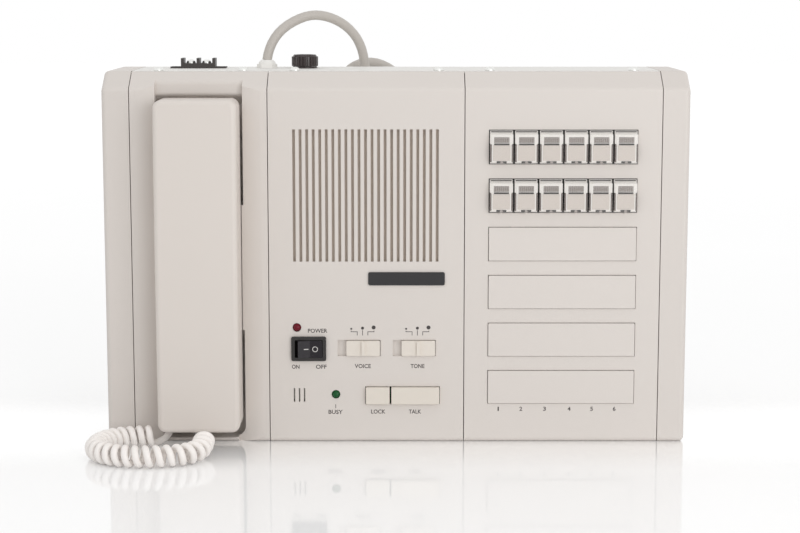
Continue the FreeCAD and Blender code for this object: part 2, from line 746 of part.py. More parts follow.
def handset_parts():
    """The two handset shells, the receiver, the transmitter and the jack with its plug."""
    hollow = handset_outside().cut(handset_inside())
    plug_z = HANDSET_LIFT - PLUG_OUT
    socket = box(
        CRADLE_X - PLUG_WIDE / 2 - FIT, CRADLE_X + PLUG_WIDE / 2 + FIT,
        HANDSET_PLUG_Y - PLUG_THICK / 2 - FIT, HANDSET_PLUG_Y + PLUG_THICK / 2 + 2 * FIT,
        HANDSET_LIFT - 1, HANDSET_LIFT + HANDSET_WALL + 1,
    )
    far = 2 * HEIGHT
    front_half = box(-far, far, -far, HANDSET_SPLIT_Y - TOUCH / 2, -far, far)
    rear_half = box(-far, far, HANDSET_SPLIT_Y + TOUCH / 2, far, -far, far)
    save("handset_shell", hollow.common(front_half).cut(socket))
    rear = hollow.common(rear_half).cut(socket)
    holes = sound_holes(EAR_Z, EAR_HOLE_RING, EAR_HOLES, EAR_HOLE_R)
    holes += sound_holes(MOUTH_Z, MOUTH_HOLE_RING, MOUTH_HOLES, MOUTH_HOLE_R)
    save("handset_back", rear.cut(Part.makeCompound(holes)))
    seat = CUP_BACK_Y - HANDSET_WALL - TOUCH
    save("receiver_capsule", capsule(EAR_Z, seat, RECEIVER_R, RECEIVER_DEEP))
    save("transmitter_capsule", capsule(MOUTH_Z, seat, TRANSMITTER_R, TRANSMITTER_DEEP))
    save("handset_plug", modular_plug((CRADLE_X, HANDSET_PLUG_Y, plug_z), PLUG_OUT, PLUG_LONG, "z"))
    half_w = PLUG_WIDE / 2 + FIT + JACK_WALL
    half_t = PLUG_THICK / 2 + 2 * FIT + JACK_WALL
    jack_low = HANDSET_LIFT + HANDSET_WALL + TOUCH
    tip = plug_z + PLUG_LONG + FIT
    body = box(CRADLE_X - half_w, CRADLE_X + half_w, HANDSET_PLUG_Y - half_t, HANDSET_PLUG_Y + half_t,
               jack_low, tip + JACK_WALL)
    bore = box(CRADLE_X - PLUG_WIDE / 2 - FIT, CRADLE_X + PLUG_WIDE / 2 + FIT,
               HANDSET_PLUG_Y - PLUG_THICK / 2 - FIT, HANDSET_PLUG_Y + PLUG_THICK / 2 + 2 * FIT,
               jack_low - 1, tip)
    save("handset_jack", body.cut(bore))


def capsule(z, seat, r, deep):
    """A round capsule, its face towards the back of the cup."""
    profile = [(0, 0), (r, 0), (r, -deep * 0.6), (r * 0.7, -deep), (0, -deep)]
    return revolved(profile, V(CRADLE_X, seat, z), V(0, 1, 0), V(1, 0, 0))


# Speaker module

def speaker_x(from_edge):
    return X_SPEAKER + from_edge


GRILLE_X = X_SPEAKER + MODULE_WIDTH / 2 + GRILLE_SHIFT
GRILLE_Z = HEIGHT - GRILLE_BELOW_TOP - GRILLE_LONG / 2
GRILLE_WIDE = (GRILLE_SLOTS - 1) * GRILLE_PITCH + GRILLE_SLOT_WIDTH
SPEAKER_FRONT_Y = FACE_Y + WALL + 2 * TOUCH + CLOTH
CLAMP_Y = SPEAKER_FRONT_Y + 1.0
TALK_X = LOCK_X + LOCK_WIDE + KEY_GAP
AMPLIFIER_BOARD_X0 = X_SPEAKER + BOARD_EDGE
AMPLIFIER_BOARD_X1 = X_SELECTOR - BOARD_EDGE


def grille_slots():
    slots = []
    for k in range(GRILLE_SLOTS):
        x = GRILLE_X + (k - (GRILLE_SLOTS - 1) / 2) * GRILLE_PITCH
        slots.append(block(x, FACE_Y - 1, FACE_Y + WALL + 1, GRILLE_Z, GRILLE_SLOT_WIDTH, GRILLE_LONG))
    return slots


def mic_slots():
    slots = []
    for k in (-1, 0, 1):
        x = speaker_x(MIC_X) + k * MIC_PITCH
        slots.append(block(x, FACE_Y - 1, FACE_Y + WALL + 1, MIC_Z, MIC_SLOT_WIDE, MIC_SLOT_LONG))
    return slots


def slider_pocket(x):
    """The pocket that a slide knob runs in, and the narrow slot for its stem."""
    wide = SLIDER_WIDE + SLIDER_TRAVEL + 2 * SLIDE_FIT
    centre = x - SLIDER_TRAVEL / 2
    pocket = block(centre, FACE_Y - 1, FACE_Y + POCKET_DEEP, SLIDER_Z, wide, SLIDER_HIGH + 2 * SLIDE_FIT)
    slot_wide = STEM + SLIDER_TRAVEL + 2 * SLIDE_FIT
    slot = block(centre, FACE_Y, FACE_Y + POCKET_DEEP + WALL + 1, SLIDER_Z, slot_wide, STEM + 2 * SLIDE_FIT)
    pad = block(centre, FACE_Y + WALL / 2, FACE_Y + POCKET_DEEP + WALL - 0.5, SLIDER_Z, wide + 2,
        SLIDER_HIGH + 3)
    return pad, [pocket, slot]


def clamp_places():
    over = GRILLE_LONG / 2 + CLAMP_CLEAR
    return [(GRILLE_X + i * CLAMP_SIDE, GRILLE_Z + j * over) for i in (-1, 1) for j in (-1, 1)]


def grille_cloth():
    """The cloth that is glued behind the slots and keeps dust off the cone."""
    y0 = FACE_Y + WALL + TOUCH
    wide = GRILLE_WIDE + 2 * CLOTH_MARGIN
    high = GRILLE_LONG + CLOTH_MARGIN
    save("grille_cloth", block(GRILLE_X, y0, y0 + CLOTH, GRILLE_Z, wide, high))


def amplifier_posts():
    return board_corners(AMPLIFIER_BOARD_X0, AMPLIFIER_BOARD_X1, AMPLIFIER_BOARD_BOTTOM, AMPLIFIER_BOARD_TOP)


def speaker_cover():
    """The middle module, with the grille, two lamps, the power switch, two slide pockets and the keys."""
    posts, holes = board_posts(amplifier_posts(), BOARD_Y - TOUCH)
    clamp_posts, clamp_holes = board_posts(clamp_places(), CLAMP_Y - TOUCH)
    voice_pad, voice_cuts = slider_pocket(speaker_x(VOICE_X))
    tone_pad, tone_cuts = slider_pocket(speaker_x(TONE_X))
    solid = fuse([cover_shell(X_SPEAKER, X_SELECTOR, WALL), voice_pad, tone_pad] + posts + clamp_posts)
    cuts = holes + clamp_holes + voice_cuts + tone_cuts + grille_slots() + mic_slots()
    cuts.append(rod_y(speaker_x(POWER_LED_X), POWER_LED_Z, LED_R + 0.15, FACE_Y - 1, FACE_Y + WALL + 1))
    cuts.append(rod_y(speaker_x(BUSY_LED_X), BUSY_LED_Z, LED_R + 0.15, FACE_Y - 1, FACE_Y + WALL + 1))
    cuts.append(block(speaker_x(ROCKER_X), FACE_Y - 1, FACE_Y + WALL + 1, ROCKER_Z, BEZEL_WIDE - 2,
        BEZEL_HIGH - 2))
    x0 = speaker_x(LOCK_X) - SLIDE_FIT
    x1 = speaker_x(TALK_X) + TALK_WIDE + SLIDE_FIT
    half = KEY_HIGH / 2 + SLIDE_FIT
    cuts.append(box(x0, x1, FACE_Y - 1, FACE_Y + WALL + 1, KEYS_Z - half, KEYS_Z + half))
    save("speaker_cover", solid.cut(Part.makeCompound(cuts)))


def loudspeaker():
    """The driver: a flat rim, a cone that opens forwards, a basket and a magnet."""
    rim = SPEAKER_R - SPEAKER_RIM
    neck_y = SPEAKER_DEEP * 0.55
    profile = [
        (0, neck_y * 0.65), (MAGNET_R * 0.4, neck_y * 0.8), (rim - 2, 1.5), (rim, 0), (SPEAKER_R, 0),
        (SPEAKER_R, SPEAKER_RIM_THICK), (rim, SPEAKER_RIM_THICK), (MAGNET_R + 2, neck_y - 0.5),
        (MAGNET_R, neck_y), (MAGNET_R, SPEAKER_DEEP), (0, SPEAKER_DEEP),
    ]
    body = revolved(profile, V(GRILLE_X, SPEAKER_FRONT_Y, GRILLE_Z), V(0, 1, 0), V(1, 0, 0))
    save("loudspeaker", body)


def speaker_clamps():
    """Four clips that hold the loudspeaker's rim to the cover, each with its screw."""
    clips = []
    half = CLAMP_WIDE / 2
    step_y = SPEAKER_FRONT_Y + SPEAKER_RIM_THICK + TOUCH - CLAMP_Y
    for x, z in clamp_places():
        inward = V(GRILLE_X - x, 0, GRILLE_Z - z)
        reach = inward.Length - SPEAKER_R + SPEAKER_RIM / 2
        angle = math.degrees(math.atan2(inward.z, inward.x))
        clip = box(-POST_R, reach, 0, step_y + CLAMP_SHEET, -half, half)
        clip = clip.cut(box(POST_R, reach + 1, -1, step_y, -half - 1, half + 1))
        clip = clip.cut(box(-POST_R - 1, POST_R - CLAMP_SHEET, CLAMP_SHEET, step_y + 5, -half - 1, half + 1))
        clip.rotate(V(0, 0, 0), V(0, 1, 0), -angle)
        clip.translate(V(x, CLAMP_Y, z))
        head = rod_y(x, z, CLAMP_HEAD_R, CLAMP_Y + CLAMP_SHEET - TOUCH, CLAMP_Y + 2 * CLAMP_SHEET)
        shank = rod_y(x, z, POST_HOLE_R, FACE_Y + WALL, CLAMP_Y + CLAMP_SHEET)
        clips.append(fuse([clip, head, shank]))
    save("speaker_clamps", *clips)


def led(x, z):
    """A lamp: dome, body, rim and two legs back to the board."""
    tip = FACE_Y - 1.6
    profile = [(0, 0), (LED_R * 0.6, 0.4), (LED_R, 2.2), (LED_R, 4.4), (LED_R + 0.45, 4.4),
        (LED_R + 0.45, 5.4), (0, 5.4)]
    body = revolved(profile, V(x, tip, z), V(0, 1, 0), V(1, 0, 0))
    legs = [block(x + s * 1.27, tip + 5, BOARD_Y - TOUCH, z, 0.5, 0.5) for s in (-1, 1)]
    return fuse([body] + legs)


def microphone():
    x = speaker_x(MIC_X)
    front = FACE_Y + WALL + TOUCH
    boot = rod_y(x, MIC_Z, MIC_R + BOOT_WALL, front, BOARD_Y - TOUCH)
    save("microphone_boot", boot.cut(rod_y(x, MIC_Z, MIC_R + TOUCH, front - 1, front + MIC_DEEP + TOUCH)))
    save("microphone_capsule", rod_y(x, MIC_Z, MIC_R, front + BOOT_WALL / 2, front + MIC_DEEP))


def power_switch():
    """The switch body that snaps into the cover, and its rocker, shown with its right end pressed."""
    x = speaker_x(ROCKER_X)
    pivot_y = FACE_Y + 4
    bezel = rounded_slab(x, ROCKER_Z, BEZEL_WIDE, BEZEL_HIGH, 1.0, FACE_Y - BEZEL_PROUD, FACE_Y - TOUCH / 2)
    body = block(x, FACE_Y - 1, FACE_Y + POWER_SWITCH_DEEP, ROCKER_Z, BEZEL_WIDE - 2 - 2 * TOUCH,
        BEZEL_HIGH - 2 - 2 * TOUCH)
    cavity = block(x, FACE_Y - 5, FACE_Y + POWER_SWITCH_DEEP - 4, ROCKER_Z, ROCKER_WIDE + 0.6,
        ROCKER_HIGH + 0.5)
    pin_hole = rod_z(x, pivot_y, 1.1, ROCKER_Z - ROCKER_HIGH / 2 - 0.9, ROCKER_Z + ROCKER_HIGH / 2 + 0.9)
    back = FACE_Y + POWER_SWITCH_DEEP
    blades = [block(x + k * BLADE_PITCH, back - 1, BOARD_Y - FIT, ROCKER_Z, 0.8, 4.8) for k in (-1, 0, 1)]
    save("power_switch_body", fuse([bezel, body] + blades).cut(cavity).cut(pin_hole))
    half = ROCKER_WIDE / 2
    view = [
        (x - half + 0.8, FACE_Y - 3.5), (x, FACE_Y - 2.3), (x + half - 0.8, FACE_Y - 3.5),
        (x + half, FACE_Y + 2), (x + 3, FACE_Y + ROCKER_DEEP), (x - 3, FACE_Y + ROCKER_DEEP),
        (x - half, FACE_Y + 2),
    ]
    rocker = plan_prism(view, ROCKER_Z - ROCKER_HIGH / 2, ROCKER_Z + ROCKER_HIGH / 2)
    pins = rod_z(x, pivot_y, 0.95, ROCKER_Z - ROCKER_HIGH / 2 - 0.7, ROCKER_Z + ROCKER_HIGH / 2 + 0.7)
    rocker = fuse([rocker, pins])
    rocker.rotate(V(x, pivot_y, 0), V(0, 0, 1), ROCKER_TILT)
    save("power_rocker", rocker)


def slider(name, x):
    """A slide knob with a ridge across its middle, at the right end of its travel."""
    front = FACE_Y - SLIDER_PROUD
    plate = rounded_slab(x, SLIDER_Z, SLIDER_WIDE, SLIDER_HIGH, 0.6, front, FACE_Y + POCKET_DEEP - FIT)
    ridge = block(x, front - RIDGE_PROUD, front + 1, SLIDER_Z, RIDGE_WIDE, SLIDER_HIGH - 0.6)
    stem = block(x, FACE_Y + 1, BOARD_Y - SLIDE_SWITCH_DEEP + SLIDE_SLOT_DEEP - 1, SLIDER_Z, STEM, STEM)
    save(name, fuse([plate, ridge, stem]))


def slide_switch_bodies():
    bodies = []
    for from_edge in (VOICE_X, TONE_X):
        x = speaker_x(from_edge) - SLIDER_TRAVEL / 2
        front = BOARD_Y - SLIDE_SWITCH_DEEP
        body = block(x, front, BOARD_Y - TOUCH, SLIDER_Z, SLIDE_SWITCH_WIDE, SLIDE_SWITCH_HIGH)
        slot_wide = STEM + SLIDER_TRAVEL + 2 * SLIDE_FIT
        slot = block(x, front - 1, front + SLIDE_SLOT_DEEP, SLIDER_Z, slot_wide, STEM + 2 * SLIDE_FIT)
        bodies.append(body.cut(slot))
    save("slide_switch_bodies", *bodies)


def push_key(name, from_edge, wide):
    """A wide push key: its cap, the stops behind the cover and the stem."""
    x = speaker_x(from_edge) + wide / 2
    cap = rounded_slab(x, KEYS_Z, wide, KEY_HIGH, 0.5, FACE_Y - KEY_PROUD, FACE_Y + WALL + FIT + KEY_FLANGE)
    front_edges = [e for e in cap.Edges if e.BoundBox.YMax < FACE_Y - KEY_PROUD + 0.01]
    cap = cap.makeFillet(KEY_EDGE_R, front_edges)
    stop_y = FACE_Y + WALL + FIT
    stops = block(x, stop_y, stop_y + KEY_FLANGE, KEYS_Z, wide, KEY_HIGH + 2 * SLIDE_FIT + 2 * KEY_FLANGE)
    stem = block(x, stop_y, BOARD_Y - KEY_SWITCH_DEEP + KEY_WELL_DEEP, KEYS_Z, KEY_STEM, KEY_STEM)
    save(name, fuse([cap, stops, stem]))


def key_switch_bodies():
    bodies = []
    for from_edge, wide in ((LOCK_X, LOCK_WIDE), (TALK_X, TALK_WIDE)):
        x = speaker_x(from_edge) + wide / 2
        front = BOARD_Y - KEY_SWITCH_DEEP
        body = block(x, front, BOARD_Y - TOUCH, KEYS_Z, KEY_SWITCH_WIDE, KEY_SWITCH_HIGH)
        well_back = front + KEY_WELL_DEEP + KEY_TRAVEL + FIT
        well = block(x, front - 1, well_back, KEYS_Z, KEY_STEM + 2 * FIT, KEY_STEM + 2 * FIT)
        bodies.append(body.cut(well))
    save("key_switch_bodies", *bodies)


def amplifier_board():
    """The amplifier board with its heat sink, capacitors and transformer."""
    x0 = AMPLIFIER_BOARD_X0
    x1 = AMPLIFIER_BOARD_X1
    board = box(x0, x1, BOARD_Y, BOARD_Y + BOARD, AMPLIFIER_BOARD_BOTTOM, AMPLIFIER_BOARD_TOP)
    for x, z in amplifier_posts():
        board = board.cut(rod_y(x, z, SCREW_HOLE_R, BOARD_Y - 1, BOARD_Y + BOARD + 1))
    back = BOARD_Y + BOARD
    tall = back + TRANSFORMER_WIDE * 0.75
    capacitor_z = AMPLIFIER_BOARD_BOTTOM + 4 * CAPACITOR_R
    heavy_z = AMPLIFIER_BOARD_TOP - HEAT_SINK_HIGH
    fitted = []
    for k in range(3):
        x = x0 + TRANSFORMER_WIDE * 1.5 + k * CAPACITOR_PITCH
        fitted.append(rod_y(x, capacitor_z, CAPACITOR_R, back - BOARD / 4, tall))
    fitted.append(block(x0 + TRANSFORMER_WIDE, back - BOARD / 4, tall, heavy_z, TRANSFORMER_WIDE,
        TRANSFORMER_HIGH))
    sink_x = x1 - HEAT_SINK_WIDE
    fitted.append(block(sink_x, back - BOARD / 4, back + BOARD, heavy_z, HEAT_SINK_WIDE, HEAT_SINK_HIGH))
    for k in range(HEAT_SINK_FINS):
        fin_x = sink_x + HEAT_SINK_WIDE * ((k + 0.5) / HEAT_SINK_FINS - 0.5)
        fitted.append(block(fin_x, back + BOARD / 2, tall, heavy_z, BOARD, HEAT_SINK_HIGH))
    save("amplifier_board", fuse([board] + fitted))


# Selector module

SELECTOR_X = X_SELECTOR + MODULE_WIDTH / 2
ROW_WIDE = (KEYS_PER_ROW - 1) * SELECTOR_PITCH + SELECTOR_KEY_WIDE
WINDOW_WIDE = ROW_WIDE + 2 * SLIDE_FIT
WINDOW_HIGH = SELECTOR_KEY_HIGH + 2 * SLIDE_FIT
SELECTOR_BOARD_Y = FACE_Y + BOARD_SET_BACK + 1.5
SELECTOR_BOARD_X0 = X_SELECTOR + BOARD_EDGE
SELECTOR_BOARD_X1 = X_RIGHT - BOARD_EDGE
SELECTOR_BOARD_LOW = TOP_ROW_Z - (KEY_ROWS - 1) * ROW_PITCH - WINDOW_HIGH / 2 - 3 * BOARD_EDGE
SELECTOR_BOARD_TOP = TOP_ROW_Z + WINDOW_HIGH / 2 + 3 * BOARD_EDGE


def row_z(row):
    return TOP_ROW_Z - row * ROW_PITCH


def key_x(column):
    return SELECTOR_X + (column - (KEYS_PER_ROW - 1) / 2) * SELECTOR_PITCH


def selector_posts():
    return board_corners(SELECTOR_BOARD_X0, SELECTOR_BOARD_X1, SELECTOR_BOARD_LOW, SELECTOR_BOARD_TOP)


def selector_cover():
    """The right module, with six equal windows one above the other."""
    posts, holes = board_posts(selector_posts(), SELECTOR_BOARD_Y - TOUCH)
    solid = fuse([cover_shell(X_SELECTOR, X_RIGHT, WALL)] + posts)
    cuts = list(holes)
    for row in range(ROWS):
        cuts.append(block(SELECTOR_X, FACE_Y - 1, FACE_Y + WALL + 1, row_z(row), WINDOW_WIDE, WINDOW_HIGH))
    save("selector_cover", solid.cut(Part.makeCompound(cuts)))


def switch_bank(name, row):
    """A bank of six key wells behind one window, standing on the selector board."""
    front = FACE_Y + WALL + TOUCH
    back = SELECTOR_BOARD_Y - TOUCH
    z = row_z(row)
    body = block(SELECTOR_X, front, back, z, WINDOW_WIDE + 2 * BANK_RIM, WINDOW_HIGH + 2 * BANK_LEDGE)
    recess = block(SELECTOR_X, front - 1, front + 1.2, z, WINDOW_WIDE, WINDOW_HIGH)
    body = body.cut(recess)
    for column in range(KEYS_PER_ROW):
        wide = SELECTOR_STEM_WIDE + 2 * SLIDE_FIT
        high = SELECTOR_STEM_HIGH + 2 * SLIDE_FIT
        body = body.cut(block(key_x(column), front, back - BANK_FLOOR, z, wide, high))
    save(name, body)


def selector_key(number, row, column):
    """A selector key: a cap with a sloped top edge, a ribbed lamp window, a label bed and a pull tab."""
    x = key_x(column)
    z = row_z(row)
    half_w = SELECTOR_KEY_WIDE / 2
    half_h = SELECTOR_KEY_HIGH / 2
    front = FACE_Y - SELECTOR_PROUD
    rear = FACE_Y + 0.6
    side = [
        (rear, z - half_h, 0), (front + 0.6, z - half_h, 0), (front, z - half_h + 0.6, 0),
        (front, z + half_h - 2.7, 0.6), (front + 1.6, z + half_h - 1.0, 0.4), (rear, z + half_h, 0),
    ]
    cap = side_prism(side, x - half_w, x + half_w)
    tab_r = 1.9
    tab_z = z - half_h + 0.5
    notch = block(x, front - 1, front + 1.4, z - half_h + 1.2, SELECTOR_NOTCH_WIDE, 2.5)
    tab = rod_y(x, tab_z, tab_r, front + 0.2, front + 2)
    tab = tab.common(block(x, front, front + 3, z, SELECTOR_KEY_WIDE, SELECTOR_KEY_HIGH))
    window = block(x, front - 1, front + 0.8, z + 4.3, SELECTOR_WINDOW_WIDE, 3.6)
    rib_z = [z + 4.3 + k * 1.1 for k in (-1, 0, 1)]
    ribs = [block(x, front + 0.3, front + 1, at, SELECTOR_WINDOW_WIDE, 0.5) for at in rib_z]
    bed = block(x, front - 1, front + 0.5, z - 2.6, SELECTOR_LABEL_WIDE, SELECTOR_LABEL_HIGH)
    shape = cap.cut(Part.makeCompound([notch, window, bed]))
    stem_end = rear + SELECTOR_STEM_LONG - 2.5
    stem = block(x, rear - 0.5, stem_end, z, SELECTOR_STEM_WIDE, SELECTOR_STEM_HIGH)
    save(f"selector_key_{number:02d}", fuse([shape, tab, stem] + ribs))


def blanking_plates():
    """Four snap-in plates over the unused windows, each with four hooks behind the cover."""
    plates = []
    for row in range(KEY_ROWS, ROWS):
        z = row_z(row)
        wide = WINDOW_WIDE - 2 * SLIDE_FIT
        high = WINDOW_HIGH - 2 * SLIDE_FIT
        front = FACE_Y - PLATE_PROUD
        plate = rounded_slab(SELECTOR_X, z, wide, high, 0.5, front, front + PLATE_THICK)
        pieces = [plate]
        for sx in (-1, 1):
            for sz in (-1, 1):
                hook_x = SELECTOR_X + sx * wide * 0.3
                leg_z = z + sz * (high / 2 - 0.8)
                nose_z = z + sz * (high / 2 + 0.3)
                pieces.append(block(hook_x, front + PLATE_THICK - 0.5, FACE_Y + WALL + 2, leg_z,
                    PLATE_CATCH_WIDE, 1.6))
                pieces.append(block(hook_x, FACE_Y + WALL + TOUCH, FACE_Y + WALL + 2, nose_z,
                    PLATE_CATCH_WIDE, 1.8))
        plates.append(fuse(pieces))
    save("blanking_plates", *plates)


def selector_board():
    board = box(SELECTOR_BOARD_X0, SELECTOR_BOARD_X1, SELECTOR_BOARD_Y, SELECTOR_BOARD_Y + BOARD,
                SELECTOR_BOARD_LOW, SELECTOR_BOARD_TOP)
    for x, z in selector_posts():
        board = board.cut(rod_y(x, z, SCREW_HOLE_R, SELECTOR_BOARD_Y - 1, SELECTOR_BOARD_Y + BOARD + 1))
    back = SELECTOR_BOARD_Y + BOARD
    chips = []
    for k in (-1, 0, 1):
        x = SELECTOR_X + k * CHIP_PITCH
        chips.append(block(x, back - BOARD / 4, back + 2 * BOARD, TOP_ROW_Z - ROW_PITCH / 2, CHIP_WIDE,
            CHIP_HIGH))
    header_z = SELECTOR_BOARD_LOW + HEADER_HIGH
    header = block(SELECTOR_X, back - BOARD / 4, back + HEADER_HIGH, header_z, HEADER_WIDE, HEADER_HIGH)
    save("selector_board", fuse([board, header] + chips))


# Chassis, end caps, feet and screws

def back_normal():
    return V(0, math.cos(BACK_LEAN), -math.sin(BACK_LEAN))


def on_back(shape, x, z):
    """Moves a shape built upwards from the origin so that it stands on the sloping back."""
    return placed(shape, V(x, back_y(z), z), back_normal())


def foot_places():
    x = WIDTH / 2 - FOOT_SIDE
    return [(sx * x, z) for sx in (-1, 1) for z in (FOOT_INSET_LOW, HEIGHT - FOOT_INSET_HIGH)]


def cap_screw_places():
    places = (CAP_SCREW_INSET_LOW, HEIGHT - CAP_SCREW_INSET_HIGH)
    return [(back_y(z) - SIDE_FLANGE / 2, z) for z in places]


def all_cover_screws():
    places = []
    for x0, x1 in MODULES:
        places += cover_screw_places(x0, x1)
    return places


def chassis():
    """One bent sheet: lower flange, sloping back and rear panel, with a flange at each end."""
    top_in = HEIGHT - SHEET
    outline = [
        (FLANGE_FRONT_Y, FLANGE_Z),
        (back_y(FLANGE_Z), FLANGE_Z, SHEET_BEND),
        (back_y(HEIGHT), HEIGHT, SHEET_BEND),
        (NOSE_Y + SEAM, HEIGHT),
        (NOSE_Y + SEAM, top_in),
        (back_y(top_in) - BACK_T, top_in, SHEET_BEND - SHEET),
        (back_y(FLANGE_Z + SHEET) - BACK_T, FLANGE_Z + SHEET, SHEET_BEND - SHEET),
        (FLANGE_FRONT_Y, FLANGE_Z + SHEET),
    ]
    left = X_CRADLE + SEAM / 2
    right = X_RIGHT - SEAM / 2
    sheet = side_prism(outline, left, right)
    low = FLANGE_Z + SHEET / 2
    high = HEIGHT - SHEET / 2
    strip = [
        (back_y(low) - SIDE_FLANGE, low), (back_y(low) - BACK_T / 2, low),
        (back_y(high) - BACK_T / 2, high), (back_y(high) - SIDE_FLANGE, high),
    ]
    solid = fuse([sheet, side_prism(strip, left, left + SHEET), side_prism(strip, right - SHEET, right)])
    cuts = [rod_z(x, SCREW_Y, SCREW_HOLE_R, top_in - 1, HEIGHT + 1) for x in all_cover_screws()]
    cuts += [on_back(rod_z(0, 0, SCREW_HOLE_R, -SHEET - 1, 1), x, z) for x, z in foot_places()]
    for x0, x1 in MODULES:
        for x in tab_places(x0, x1):
            slot_back = TAB_Y + TAB_THICK + TAB_HOOK / 2
            cuts.append(box(x - TAB_WIDE / 2 - FIT, x + TAB_WIDE / 2 + FIT, TAB_Y - FIT, slot_back, 0,
                FLANGE_Z + SHEET + 1))
    for y, z in cap_screw_places():
        cuts.append(Part.makeCylinder(SCREW_HOLE_R, WIDTH, V(X_LEFT, y, z), V(1, 0, 0)))
    cuts.append(rod_z(X_CRADLE + GLAND_X, PANEL_ROW_Y, GLAND_R - 1.5 + FIT, top_in - 1, HEIGHT + 1))
    cuts.append(rod_z(X_CRADLE + FUSE_X, PANEL_ROW_Y, FUSE_BODY_R + FIT, top_in - 1, HEIGHT + 1))
    tags_x = X_CRADLE + TERMINAL_X
    tags = box(tags_x - TERMINAL_PITCH - FIT, tags_x + TERMINAL_PITCH + FIT,
               PANEL_ROW_Y - 3 - FIT, PANEL_ROW_Y + 3 + FIT, top_in - 1, HEIGHT + 1)
    cuts.append(tags)
    end = rod_z(0, 0, VENT_R, -SHEET - 2, 2)
    far_end = rod_z(0, VENT_LONG, VENT_R, -SHEET - 2, 2)
    vent = fuse([end, box(-VENT_R, VENT_R, 0, VENT_LONG, -SHEET - 2, 2), far_end])
    for group_x in (X_SPEAKER + VENT_INSET, X_SELECTOR + VENT_INSET):
        for k in range(VENTS):
            cuts.append(on_back(vent, group_x + k * VENT_PITCH, SHOULDER_Z - VENT_BELOW_SHOULDER))
    save("chassis", solid.cut(Part.makeCompound(cuts)))


def end_cap(name, side):
    """A moulded end cap, open towards the console, with two bosses that meet the chassis flange."""
    outer = WIDTH / 2
    inner = outer - CAP_WIDTH + SEAM / 2
    outline = [
        (BASE_BACK_Y, 0, TOE_R), (FACE_Y, 0, TOE_R), (FACE_Y, SHOULDER_Z, SHOULDER_R),
        (NOSE_Y, HEIGHT, SHOULDER_R), (back_y(HEIGHT), HEIGHT, SHEET_BEND),
    ]
    body = side_prism(outline, inner, outer)
    rim = [e for e in body.Edges if e.BoundBox.XMin > outer - 0.01]
    body = body.makeFillet(CAP_EDGE_R, rim)
    w = WALL
    hollow = [
        (back_y(w) - w, w), (FACE_Y + w, w), (FACE_Y + w, bevel_z(FACE_Y + w, w)),
        (bevel_y(HEIGHT - w, w), HEIGHT - w), (back_y(HEIGHT - w) - w, HEIGHT - w),
    ]
    body = body.cut(side_prism(hollow, inner - 1, outer - w))
    flange_x = WIDTH / 2 - CAP_WIDTH - SEAM / 2 + TOUCH
    for y, z in cap_screw_places():
        along = V(1, 0, 0)
        body = body.fuse(Part.makeCylinder(POST_R + 0.5, outer - w / 2 - flange_x, V(flange_x, y, z), along))
        body = body.cut(Part.makeCylinder(SCREW_R + TOUCH, SCREW_LONG + 1, V(flange_x - 1, y, z), along))
    body = body.removeSplitter()
    if side < 0:
        body = body.mirror(V(0, 0, 0), V(1, 0, 0))
    save(name, body)


def pan_screw(head_r, long, crossed):
    """A pan-head screw standing on the origin, its shank pointing down."""
    h = SCREW_HEAD_HIGH
    profile = [(0, h), (head_r * 0.55, h * 0.93), (head_r * 0.87, h * 0.62), (head_r, h * 0.2), (head_r, 0),
               (SCREW_R, 0), (SCREW_R, -long), (0, -long)]
    body = revolved(profile, V(0, 0, 0), V(0, 0, 1), V(1, 0, 0))
    if crossed:
        reach = head_r * 0.55
        body = body.cut(box(-reach, reach, -0.4, 0.4, h * 0.5, h + 1))
        body = body.cut(box(-0.4, 0.4, -reach, reach, h * 0.5, h + 1))
    return body


def screws_and_feet():
    """Case screws, board screws, rubber feet and the screws in them."""
    lift = TOUCH / 2
    top = pan_screw(SCREW_HEAD_R, SCREW_LONG - 1, True)
    plain = pan_screw(SCREW_HEAD_R, SCREW_LONG - 1, False)
    case = [placed(top, V(x, SCREW_Y, HEIGHT + lift), V(0, 0, 1)) for x in all_cover_screws()]
    for y, z in cap_screw_places():
        case.append(placed(plain, V(X_CRADLE + SEAM / 2 + SHEET + lift, y, z), V(1, 0, 0)))
        case.append(placed(plain, V(X_RIGHT - SEAM / 2 - SHEET - lift, y, z), V(-1, 0, 0)))
    board = pan_screw(SCREW_HEAD_R - 0.6, BOARD + 4, False)
    fixings = [placed(board, V(x, BOARD_Y + BOARD + lift, z), V(0, 1, 0)) for x, z in amplifier_posts()]
    back = SELECTOR_BOARD_Y + BOARD + lift
    fixings += [placed(board, V(x, back, z), V(0, 1, 0)) for x, z in selector_posts()]
    save("board_screws", *fixings)
    recess = FOOT_HIGH - 2.0
    profile = [(SCREW_HOLE_R, 0), (FOOT_R, 0), (FOOT_R, 1.2), (FOOT_TIP_R, FOOT_HIGH),
               (SCREW_HEAD_R + 0.5, FOOT_HIGH), (SCREW_HEAD_R + 0.5, FOOT_HIGH - recess),
               (SCREW_HOLE_R, FOOT_HIGH - recess)]
    foot = revolved(profile, V(0, 0, lift), V(0, 0, 1), V(1, 0, 0))
    save("rubber_feet", *[on_back(foot, x, z) for x, z in foot_places()])
    plain.translate(V(0, 0, FOOT_HIGH - recess + 2 * lift))
    case += [on_back(plain, x, z) for x, z in foot_places()]
    save("case_screws", *case)


# Rear panel connections

